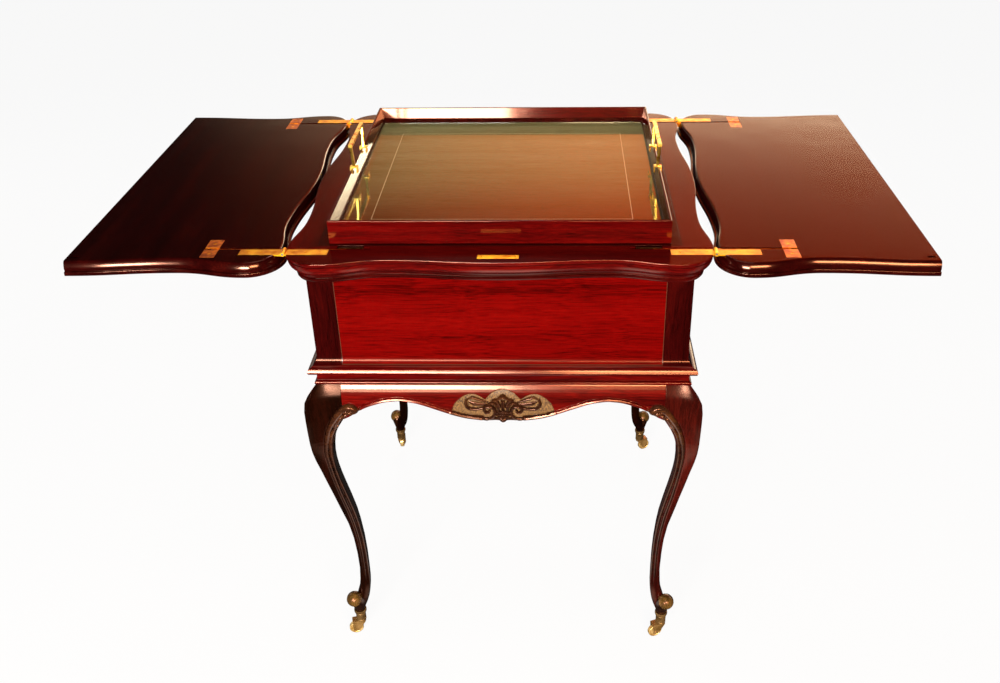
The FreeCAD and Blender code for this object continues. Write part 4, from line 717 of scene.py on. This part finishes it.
FLARE = [(0, 574), (0.25, 571), (1.0, 568), (2.3, 565), (4.1, 562.6), (6.0, 560.8)]
CASE_FOOT = 534.02
base_profile = ([(0, CASE_FOOT), (3, CASE_FOOT), (3, 547.2), (3.6, 548.2), (10.6, 548.2)]
                + arc((11.2, 550.4), 2.0, 2.1, -90, 0, 4)
                + [(13.2, 551.6), (13.9, 552.0), (14.0, 552.7), (13.7, 553.3), (12.2, 556.8), (11.6, 557.7),
                   (10.6, 558.3), (8.4, 559.1), (6.05, 560.75), (0, 560.75)])
fit(mitred("base_moulding_run", base_profile, CASE_X, CASE_Y), "base_moulding")

# ---- case ------------------------------------------------------------------
# Four boards mitred at the corners, faced with veneer that sweeps outwards at
# the foot. The front has dark stiles round a panel of bright figured veneer
# laid with the grain along, edged with a fine boxwood line.

# figured veneer: bright red under the polish, with long darker flecks
panel_wood = both_ways("figured_mahogany_veneer", "#2a0000", "#540101", "#630302", ribbon=34, streak=1.6,
                       figure=0.55, stretch=0.035, gloss=0.12, roughness=0.2)
# the stiles: the same veneer laid upright and stained almost black
stile_wood = mahogany("dark_mahogany_stile", "#160101", "#240202", "#340403", along="Z", gloss=0.22)


def line_wood(name, dark, light):
    """Fine straight-grained wood for inlaid lines."""
    made, tree, place = new_material(name)
    fibre = node(tree, "TexNoise", links=place, Scale=1000 / 1.5, Detail=2.0)
    tint = node(tree, "ValToRGB", links=[("Fac", fibre)], stops=[(0, linear(dark)), (1, linear(light))])
    shade = node(tree, "BsdfPrincipled", links=[("Base Color", tint)], Roughness=0.3)
    node(tree, "OutputMaterial", links=[("Surface", shade)])
    return made


# boxwood gone brown under a century of stain and polish
boxwood = line_wood("boxwood_stringing", "#2a0e06", "#4e2812")

PANEL_X, PANEL_HEAD, PANEL_FOOT, LINE = 232.0, 703.0, 561.7, 0.9
UNDER_RIM = 720.0


def cut(piece, point, normal, **how):
    """Cuts a piece's mesh along a plane; told to, it clears the side that the normal points to."""
    worked(piece, (bpy.ops.mesh.bisect, dict(plane_co=Vector(point) * MM, plane_no=normal, **how)))


for side, (axis, _) in SIDES.items():
    wall = 11.0 if axis == "X" else 13.5
    profile = [(-wall, CASE_FOOT), (-wall, UNDER_RIM), (0, UNDER_RIM)] + FLARE + [(0, 560.76), (0, CASE_FOOT)]
    board = mitred_length("case_board_" + side, side, profile, CASE_X, CASE_Y)
    # scored where stiles and panel meet, so that they can take different veneers
    along = Vector((axis == "X", axis == "Y", 0))
    for sign in (-1, 1):
        cut(board, sign * PANEL_X * along, along)
    for z in (PANEL_HEAD, PANEL_FOOT):
        cut(board, (0, 0, z), (0, 0, 1))
    clad(board, stile_wood, panel_wood[axis], rail_wood[axis])
    centres = middles(board)
    level = (PANEL_FOOT < centres[:, 2]) & (centres[:, 2] < PANEL_HEAD)
    stile, panel, head = range(3)
    coat(board, np.where(abs(centres @ along) < PANEL_X, np.where(level, panel, head), stile))
    fit(board, "case_" + side, slot="mahogany_veneer")

# the boxwood line: four strips let in level round the front panel, bent with the flare at their foot
inner_x, inner_head, inner_foot = PANEL_X - LINE, PANEL_HEAD - LINE, PANEL_FOOT + LINE
sections = []
uprights = [PANEL_FOOT, 562.9, 564.5, 566.5, 569, 572, 576, 620, 660, PANEL_HEAD]
flare = [(height, out) for out, height in FLARE]
for sign, run in ((-1, uprights), (1, uprights[::-1])):
    for z in run:
        share = (z - PANEL_FOOT) / (PANEL_HEAD - PANEL_FOOT)
        within = inner_foot + share * (inner_head - inner_foot)
        sections.append([(sign * x, -(CASE_Y + at_height(flare, height) + proud), height) for x, height, proud in
                         ((PANEL_X, z, 0.03), (inner_x, within, 0.03), (inner_x, within, -1.0), (PANEL_X, z, -1.0))])
sections.append(sections[0])
line = lofted("panel_stringing", sections, capped=False)
clad(line, boxwood)
fit(line, "front_stringing", slot="boxwood_line")

# ---- top: rim, its cornice, and the two leaves -----------------------------
# The rim is a flat mitred frame on the case and each leaf a clamped board. All
# share one serpentine outline, worked with a round, a sunk quirk and a lip; the
# coved cornice under the rim follows it.

HINGE_X, HINGE_Z, HALF_DEPTH, SIDE_GAP = 295.0, 740.0, 298.0, 0.6
FRONT_WAIST, WAIST_AT, LOBE_BULGE, LOBE_AT = 8.5, 142.0, 5.5, 48.0
SIDE_WAIST, SIDE_WAIST_AT, TURN_Y = 10.5, 160.0, 253.5
PULLS = (0.45, 0.45, 0.55, 0.45, 0.45)
OUTLINE_STEPS = 18


def quarter(inset):
    """A quarter of the outline, from the middle of the front to the middle of a side."""
    front = HALF_DEPTH - inset
    side = HINGE_X - SIDE_GAP - inset
    keys = np.array([(0, front), (HINGE_X - WAIST_AT, front - FRONT_WAIST), (HINGE_X - LOBE_AT, front + LOBE_BULGE),
                     (side, TURN_Y), (side - SIDE_WAIST, SIDE_WAIST_AT), (side, 0)])
    points = [keys[:1]]
    t = np.linspace(0, 1, OUTLINE_STEPS + 1)[1:, None]
    for number, share in enumerate(PULLS):
        start, end = keys[number:number + 2]
        pull = share * (end - start)
        first = start + pull * ((1, 0) if number < 3 else (0, 1))
        last = end - pull * ((1, 0) if number < 2 else (0, 1))
        points.append((1 - t) ** 3 * start + 3 * t * (1 - t) ** 2 * first + 3 * t * t * (1 - t) * last + t ** 3 * end)
    return np.vstack(points)


def whole_outline(inset, z):
    """The whole outline, drawn in by an inset, at a height."""
    part = quarter(inset)
    ring = [(x, -y, z) for x, y in part] + [(x, y, z) for x, y in part[-2::-1]]
    return ring + [(-x, -y, z) for x, y, _ in ring[1:-1]]


def leaf_outline(inset, z, side):
    """Half the outline laid over to the outside of its hinge, closed along the meeting edge."""
    far = 2 * HINGE_X - 0.25
    half = [(min(2 * HINGE_X - x, far), y) for x, y in quarter(inset)]
    ring = [(x, -y, z) for x, y in half] + [(x, y, z) for x, y in half[-2::-1]]
    return [(side * x, y, z) for x, y, z in ring]


def block(x, y, z):
    """A block between two numbers on each axis, in millimetres."""
    low, high = Vector((x[0], y[0], z[0])) * MM, Vector((x[1], y[1], z[1])) * MM
    made = fresh("block", bpy.ops.mesh.primitive_cube_add, size=1, location=(low + high) / 2, scale=high - low)
    bpy.ops.object.transform_apply(location=True, rotation=True, scale=True)
    return made


def rod(radius, centre, length):
    """A round bar about a centre, lying front to back."""
    made = fresh("rod", bpy.ops.mesh.primitive_cylinder_add, vertices=32, radius=radius * MM, depth=length * MM,
                 location=Vector(centre) * MM, rotation=(math.pi / 2, 0, 0))
    bpy.ops.object.transform_apply(location=True, rotation=True, scale=True)
    return made


def both(sign, low, high):
    """A stretch of an axis, or its mirror image."""
    return (low, high) if sign > 0 else (-high, -low)


def about(middle, half):
    """A stretch of an axis about its middle."""
    return middle - half, middle + half


RIM_Z, OPEN_X, OPEN_Y = 739.75, 252.0, 245.5
rim_round = [(1.5 + 7.5 * (1 - math.cos(a)), 733.25 - 12.75 * math.sin(a))
             for a in np.radians([0, 15, 30, 45, 60, 75, 88])]
rim_edge = ([(0.9, RIM_Z), (0.3, 739.5), (0, 738.9), (0, 736.4), (0.25, 735.95), (0.7, 735.75), (3, 735.75), (3, 733.3)]
            + rim_round + [(9.1, 720.0)])
UNDER, OVER = 700, 760  # cuts start and end clear of the wood
rim = lofted("rim", [whole_outline(inset, z) for inset, z in rim_edge])
boolean(rim, block(about(0, OPEN_X), about(0, OPEN_Y), (UNDER, OVER)))

STRAP_Y, STRAP_HALF, STRAP_LONG, STRAP_THICK, KNUCKLE = 265.5, 8.0, 61.0, 2.0, 3.6
LINK_Y, SLOT_HALF, BRACKET_X, LINK_X, GROOVE_Z = 254.3, 2.5, 397.0, 213.0, 730.5
BRACKET_SCREW, PLAY = 15.05, 0.1


def hinge_cuts(piece, across, depth, groove, strap):
    """The cuts for a link's groove, a strap and its knuckle; groove and strap are (near, far) from the middle."""
    boolean(piece, block(both(across, *groove), about(depth * LINK_Y, SLOT_HALF), (GROOVE_Z, OVER)))
    boolean(piece, block(both(across, *strap), about(depth * STRAP_Y, STRAP_HALF + PLAY), (RIM_Z - STRAP_THICK, OVER)))
    boolean(piece, rod(KNUCKLE, (across * HINGE_X, depth * STRAP_Y, HINGE_Z), 2 * (STRAP_HALF + PLAY)))


for across in (1, -1):
    for depth in (1, -1):
        # the slot that the link rises through, and the room that its pivot needs beside it
        boolean(rim, block(both(across, 179, 255), about(depth * LINK_Y, SLOT_HALF), (UNDER, OVER)))
        boolean(rim, block(both(across, LINK_X - 26, LINK_X + 11), both(depth, OPEN_Y - 1, LINK_Y), (UNDER, OVER)))
        hinge_cuts(rim, across, depth, (254, 300), (HINGE_X - STRAP_LONG - PLAY, 300))
LOCK_Y, LOCK_HALF = -279.5, 5.6
for half_long, deep in ((28.1, 2), (17.1, 15.8)):  # the bed of the lock's plate, then of its case
    boolean(rim, block(about(0, half_long), about(LOCK_Y, LOCK_HALF), (RIM_Z - deep, OVER)))
for side, (axis, facing) in SIDES.items():
    length = copy_of(rim, "rim_moulded_" + side)
    for end in (-1, 1):
        across, depth, lean = (end, facing, 1) if axis == "X" else (facing, end, -1)
        cut(length, (across * OPEN_X, depth * OPEN_Y, 0), (lean * across, -lean * depth, 0), use_fill=True,
            clear_outer=True)
    clad(length, rail_wood[axis])
    fit(length, "rim_" + side)
bpy.data.objects.remove(rim)


def grained(piece, woods):
    """Gives each length of a frame the wood whose grain runs along it."""
    clad(piece, *woods.values())
    x, y, _ = abs(middles(piece)).T
    coat(piece, x > y)


cornice_edge = [(10.6, 719.98), (10.6, 718.6), (11.6, 717.6), (12.9, 715.6), (13.7, 713.2), (13.9, 711.6),
                (12.6, 711.2), (12.4, 709.6), (12.8, 707.6), (14.0, 705.9), (15.8, 704.8), (18.0, 704.0)]
cornice = lofted("cornice_coved", [whole_outline(inset, z) for inset, z in cornice_edge])
boolean(cornice, block(about(0, CASE_X), about(0, CASE_Y), (UNDER, 730)))
# painted shade: the cornice lies in the rim's shade, and its wood is coloured darker for it; it is duller for being out
# of the polisher's reach
grained(cornice, both_ways("french_polished_mahogany_cornice", "#180101", "#2c0202", "#400403", roughness=0.2,
                           gloss=0.3))
fit(cornice, "cornice_moulding")

# leaves: broad boards, darker, the grain front to back
leaf_wood = mahogany("french_polished_mahogany_leaf", "#140101", "#1e0202", "#2e0503", along="Y")
leaf_edge = [(0.8, 719.75), (0.2, 720.0), (0, 720.6), (0, 724.6), (0.3, 725.2), (1.0, 725.6), (3.2, 725.7),
             (3.3, 726.3), (2.7, 727.3), (2.6, 729.0), (2.8, 730.8), (3.3, 732.6), (4.0, 734.6), (4.9, 736.8),
             (5.7, 738.2), (6.6, 739.1), (7.7, 739.6), (8.8, 739.75)]
for side, across in (("left", -1), ("right", 1)):
    leaf = lofted("leaf_moulded_" + side, [leaf_outline(inset, z, across) for inset, z in leaf_edge])
    for depth in (1, -1):
        hinge_cuts(leaf, across, depth, (290, 403.5), (290, HINGE_X + STRAP_LONG + PLAY))
        boolean(leaf, block(about(across * BRACKET_X, 10.1), about(depth * LINK_Y, 27.6), (RIM_Z - 1.6, OVER)))
    # a keep for one of the lock's bolts, near the leaf's meeting edge
    boolean(leaf, block(about(across * (2 * HINGE_X - 11), 5.1), about(LOCK_Y, 2.6), (RIM_Z - 8, OVER)))
    clad(leaf, leaf_wood)
    fit(leaf, "leaf_" + side, body=side + "_leaf")

# ---- brass hinges, links and lock ------------------------------------------
# Cast and filed brass, let in flush: strap hinges with three-part knuckles, link
# bars in their slots, bracket plates where the links end, and the lock.


def metal(name, dark, light, patch, smoothest, roughest, metallic=1.0):
    """Cast metal in two tones, mixed in patches this many millimetres wide, with fine scratches."""
    made, tree, place = new_material(name)
    patches = node(tree, "TexNoise", links=place, Scale=1000 / patch, Detail=4.0)
    tone = node(tree, "ValToRGB", links=[("Fac", patches)], stops=[(0.36, linear(dark)), (0.62, linear(light))])
    scratches = node(tree, "TexNoise", links=place, Scale=1000 / 0.8, Detail=2.0)
    rough = node(tree, "MapRange", links=[("Value", patches)], To_Min=smoothest, To_Max=roughest)
    scored = node(tree, "Bump", links=[("Height", scratches)], Strength=0.12, Distance=0.0002)
    shade = node(tree, "BsdfPrincipled", links=[("Base Color", tone), ("Roughness", rough),
                                                ("Normal", scored)], Metallic=metallic)
    node(tree, "OutputMaterial", links=[("Surface", shade)])
    return made


# aged brass let into the top: warm gold with browner patches, scratched by use
brass = metal("aged_polished_brass", "#dc8a10", "#ffc428", 18, 0.32, 0.5)


def eased(piece, width):
    """Takes the sharpness off a piece's edges."""
    step = piece.modifiers.new("eased", "BEVEL")
    step.width = width * MM
    step.segments = 2
    step.limit_method = "ANGLE"
    step.angle_limit = math.radians(30)
    step.use_clamp_overlap = True
    apply_all(piece)


def filed(node_name, name, material, body="stand_and_case", slot="brass", ease=0.3):
    """A metal piece or a plain board at its node's exact shape, with its edges eased."""
    made = copy_of(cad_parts[node_name], name)
    clad(made, material)
    worked(made, (bpy.ops.mesh.remove_doubles, {"threshold": 0.01 * MM}),
           (bpy.ops.mesh.dissolve_limited, {"angle_limit": math.radians(1)}))
    eased(made, ease)
    fit(made, node_name, body=body, slot=slot)


filed("rim_hinge_straps", "rim_straps_filed", brass)
filed("lock_plate", "lock_plate_filed", brass, ease=0.25)
for side in ("left", "right"):
    filed(f"leaf_{side}_hinge_straps", f"leaf_{side}_straps_filed", brass, side + "_leaf")

# the plates that lie out on the leaves have gone browner
brown_brass = metal("tarnished_brass_plate", "#a84c0a", "#e8861c", 9, 0.32, 0.5)
for side in ("left", "right"):
    filed(f"leaf_{side}_link_brackets", f"leaf_{side}_brackets_filed", brown_brass, side + "_leaf")
    for end in ("front", "back"):
        filed(f"link_{end}_{side}", f"link_{end}_{side}_filed", brown_brass, f"link_bar_{end}_{side}", ease=0.4)
filed("lock_bolt", "lock_bolts_filed", brass, "lock_bolts", ease=0.4)


def turned(name, profile, centre, axis=(0, 0, 1), steps=72):
    """A lathe's work: a closed outline of (radius, distance along the axis) carried round it."""
    turn = Vector((0, 0, 1)).rotation_difference(Vector(axis)).to_matrix()
    return lofted(name, [[turn @ Vector((radius * math.cos(a), radius * math.sin(a), along)) + Vector(centre)
                          for radius, along in profile] for a in np.linspace(0, 2 * math.pi, steps + 1)], capped=False)


# one countersunk brass screw with a filed slot, set at a different turn in every hole
HEAD, SHANK = 2.55, 1.4
screw_profile = [(0, 0), (HEAD - 0.35, 0), (HEAD, -0.3), (HEAD, -1.55), (SHANK, -1.6), (SHANK, -9.0), (0.2, -9.9),
                 (0, -9.9)]
screw = turned("screw", screw_profile, (0, 0, 0), steps=32)
boolean(screw, block(about(0, 3), about(0, 0.4), (-0.6, 1)))
clad(screw, brass)


def screws(name, places, replaced, body="stand_and_case"):
    """A screw at each (x, y) of the top, for a node that holds them all."""
    made = []
    for number, (x, y) in enumerate(places):
        one = copy_of(screw, "one")
        one.data.transform(Matrix.Translation(Vector((x, y, RIM_Z - 0.05)) * MM)
                           @ Matrix.Rotation(math.radians(37 * number + 12), 4, "Z"))
        made.append(one)
    fit(joined(name, made), replaced, body=body, slot="brass")


STRAP_SCREWS = (13, 31, 49)
screws("rim_screws_slotted", [(sx * (HINGE_X - reach), sy * STRAP_Y) for sx in (-1, 1) for sy in (-1, 1)
                              for reach in STRAP_SCREWS], "rim_strap_screws")
for side, sx in (("left", -1), ("right", 1)):
    spots = [(sx * (HINGE_X + reach), sy * STRAP_Y) for sy in (-1, 1) for reach in STRAP_SCREWS]
    spots += [(sx * BRACKET_X, sy * (LINK_Y + step)) for sy in (-1, 1) for step in (-BRACKET_SCREW, BRACKET_SCREW)]
    screws(f"leaf_{side}_screws_slotted", spots, f"leaf_{side}_screws", side + "_leaf")
bpy.data.objects.remove(screw)

# drawn steel for the pivots, and the lock's iron case
steel, tree, place = new_material("dull_steel")
drawn = node(tree, "TexNoise", links=place, Scale=1000 / 2.0, Detail=2.0)
rough = node(tree, "MapRange", links=[("Value", drawn)], To_Min=0.3, To_Max=0.5)
shade = node(tree, "BsdfPrincipled", links=[("Roughness", rough)], Base_Color=linear("#8d8983"), Metallic=1.0)
node(tree, "OutputMaterial", links=[("Surface", shade)])
filed("hinge_pins", "hinge_pins_drawn", steel, slot="steel_pin", ease=0.2)
filed("lock_case", "lock_case_iron", steel, ease=0.4)

# ---- inside the case -------------------------------------------------------
# What the links lift and steady: a framed platform with brass lugs that rises
# between two grooved guides, over the bottom board. Plain stained wood.

# stained inner wood: browner, not polished
inner_wood = mahogany("stained_inner_wood", "#2e1008", "#4a1c0e", "#642c17", ribbon=30, roughness=0.45, gloss=0.3)
# the platform shows round the tray, so it was stained dark and polished like the rim
platform_wood = mahogany("dark_polished_platform", "#140101", "#200202", "#2e0403", ribbon=30, gloss=0.25)
# the lugs under it have never been cleaned
dark_brass = metal("unpolished_dark_brass", "#2c1808", "#54341a", 6, 0.4, 0.6)
filed("platform", "platform_board", platform_wood, "rising_platform", "inner_wood", 0.6)
filed("platform_lugs", "platform_lugs_filed", dark_brass, "rising_platform")
for name in ("guide_front", "guide_back", "case_bottom"):
    filed(name, name + "_board", inner_wood, slot="inner_wood", ease=0.5)

# ---- castors ---------------------------------------------------------------
# Cast brass cup castors: a cup with a turned lip screwed over the foot, a forked
# horn that swivels under it, and a turned brass wheel on a pin.

# bright worn brass of the wheels, rubbed pale and satin by floors
bright_brass = metal("bright_worn_brass", "#b08440", "#e0c080", 14, 0.26, 0.4, 0.55)
# the horns, a shade browner
horn_brass = metal("worn_brass_horn", "#7c5c2c", "#ac8650", 14, 0.3, 0.42, 0.6)
# the same brass on the cups, gone brown and dull
dull_brass = metal("dull_brown_brass", "#58401f", "#8c6c40", 14, 0.3, 0.42, 0.7)

cup_profile = [(6.95, 29.5), (8.1, 29.5), (8.5, 29.9), (8.5, 31.6), (7.9, 32.2), (7.9, 33.0), (8.4, 33.5),
               (8.4, 44.6), (8.7, 45.4), (9.4, 45.8), (9.5, 46.6), (9.2, 47.2), (9.6, 48.2), (10.3, 48.6),
               (10.5, 49.2), (10.5, 52.6), (10.2, 53.3), (9.6, 53.5), (9.0, 53.3), (6.95, 52.9)]
cups = [turned("cup", cup_profile, (sx * SWIVEL, sy * SWIVEL, 0)) for sx in (-1, 1) for sy in (-1, 1)]
cups = joined("castor_cups_turned", cups)
clad(cups, dull_brass)
fit(cups, "castor_cups", slot="brass")
TRAIL, WHEEL_Z = 10.0, 12.0
half_wheel = [(2.1, 4.0), (3.7, 4.0), (4.1, 3.7), (4.3, 3.0), (8.4, 2.8), (9.0, 3.1), (9.5, 3.7), (10.4, 3.9),
              (11.3, 3.5), (11.8, 2.9), (12.0, 2.2)]
wheel_profile = half_wheel + [(r, -a) for r, a in half_wheel[::-1]]
for end, side, heading in (("front", "left", 193), ("front", "right", 201), ("back", "left", 90),
                           ("back", "right", 25)):
    sx, sy = (1 if side == "right" else -1), (1 if end == "back" else -1)
    angle = math.radians(heading)
    centre = (sx * SWIVEL + TRAIL * math.cos(angle), sy * SWIVEL + TRAIL * math.sin(angle), WHEEL_Z)
    wheel = turned(f"wheel_{end}_{side}_turned", wheel_profile, centre, (-math.sin(angle), math.cos(angle), 0))
    clad(wheel, bright_brass)
    fit(wheel, f"castor_wheel_{end}_{side}", body=f"wheel_{end}_{side}", slot="brass")
    filed(f"castor_horn_{end}_{side}", f"horn_{end}_{side}_cast", horn_brass, f"castor_fork_{end}_{side}", ease=0.5)

# ---- tray ------------------------------------------------------------------
# A lift-out tray: a mitred mahogany frame, hollowed inside down to a loose
# sheet of glass over a polished floor with a line let in round it.

TRAY_X, TRAY_Y, TRAY_LOW, TRAY_TOP, SLOPE_FOOT = 237.0, 239.0, 739.97, 774.45, 757.0
tray_profile = ([(0, TRAY_LOW), (0, 772.9)] + arc((-1.6, 772.85), 1.6, 1.6, 0, 90, 9)
                + [(-2.7, TRAY_TOP), (-3.3, 774.2), (-3.6, 773.6), (-7.3, SLOPE_FOOT), (-7.3, 750.6), (-8, 750.2),
                   (-8, TRAY_LOW)])
tray_frame = mitred("tray_frame_hollowed", tray_profile, TRAY_X, TRAY_Y)
# the tray's frame: redder than the rim under it
grained(tray_frame, both_ways("red_mahogany_tray", "#1f0101", "#3f0202", "#530403", ribbon=18, gloss=0.4,
                              roughness=0.09))
# painted shade: under the slope the wall drops to the glass, and there it is coloured black for the shade in that gap
tray_frame.data.materials.append(stile_wood)
x, y, z = abs(middles(tray_frame)).T
painted_gap_shade = (z < SLOPE_FOOT) & (np.maximum(x - TRAY_X, y - TRAY_Y) < -6)
coat(tray_frame, np.where(painted_gap_shade, 2, x > y))
fit(tray_frame, "tray_frame", body="lift_out_tray", smooth=11)

# the floor's veneer: pale olive, with painted shade that makes it browner and darker towards the front
floor_wood = mahogany("tray_floor_veneer", "#928e60", "#a49e72", "#b0ac80", ribbon=40, streak=3.0, gloss=0.4,
                      fade=("Y", 0.20, -0.20, [(0, (1, 1, 1, 1)), (0.5, (0.66, 0.70, 0.64, 1)),
                                               (1, (0.28, 0.2, 0.15, 1))]))
tray_floor = block(about(0, 228.9), about(0, 230.9), (740.0, 745.85))
tray_floor.name = tray_floor.data.name = "tray_floor_board"
eased(tray_floor, 0.3)
clad(tray_floor, floor_wood)
fit(tray_floor, "tray_base", body="lift_out_tray")
FLOOR_LINE_X, FLOOR_LINE_Y = 188.0, 176.0
ring = [[(sx * (FLOOR_LINE_X + out), sy * (FLOOR_LINE_Y + out), z) for out, z in
         ((0.6, 745.3), (0.6, 745.9), (-0.6, 745.9), (-0.6, 745.3))]
        for sx, sy in ((-1, -1), (1, -1), (1, 1), (-1, 1), (-1, -1))]
floor_line = lofted("tray_floor_stringing", ring, capped=False)
# under the glass the line has stayed pale
clad(floor_line, line_wood("pale_boxwood_line", "#c8b070", "#ecd69a"))
fit(floor_line, body="lift_out_tray", slot="boxwood_line")

# clear sheet glass: mirrors the room a little and lets the lamps' light through to the wood
glass, tree, _ = new_material("clear_sheet_glass")
path = node(tree, "LightPath")
sheet = node(tree, "BsdfPrincipled", Base_Color=linear("#fbfdf8"), Roughness=0.0, IOR=1.42, Transmission_Weight=1.0)
clear = node(tree, "BsdfTransparent", Color=linear("#f2f6ee"))
direct = node(tree, "Math", operation="MAXIMUM", links=[(0, path, "Is Shadow Ray"), (1, path, "Is Diffuse Ray")])
mixed = node(tree, "MixShader", links=[(0, direct), (1, sheet), (2, clear)])
node(tree, "OutputMaterial", links=[("Surface", mixed)])
pane = block(about(0, 227.6), about(0, 229.6), (746.35, 749.35))
pane.name = pane.data.name = "tray_pane"
eased(pane, 0.25)
clad(pane, glass)
fit(pane, "tray_glass", body="lift_out_tray", slot="tray_glass")

# the handles are kept bright by hands, and mirror more sharply than the rest
handle_brass = metal("hand_polished_brass", "#e09c28", "#ffdc68", 12, 0.22, 0.34)
for side in ("left", "right"):
    filed("tray_handle_" + side, f"tray_handle_{side}_bent", handle_brass, "lift_out_tray", ease=0.7)
    filed("handle_collars_" + side, f"handle_collars_{side}_cast", handle_brass, "lift_out_tray", ease=0.5)
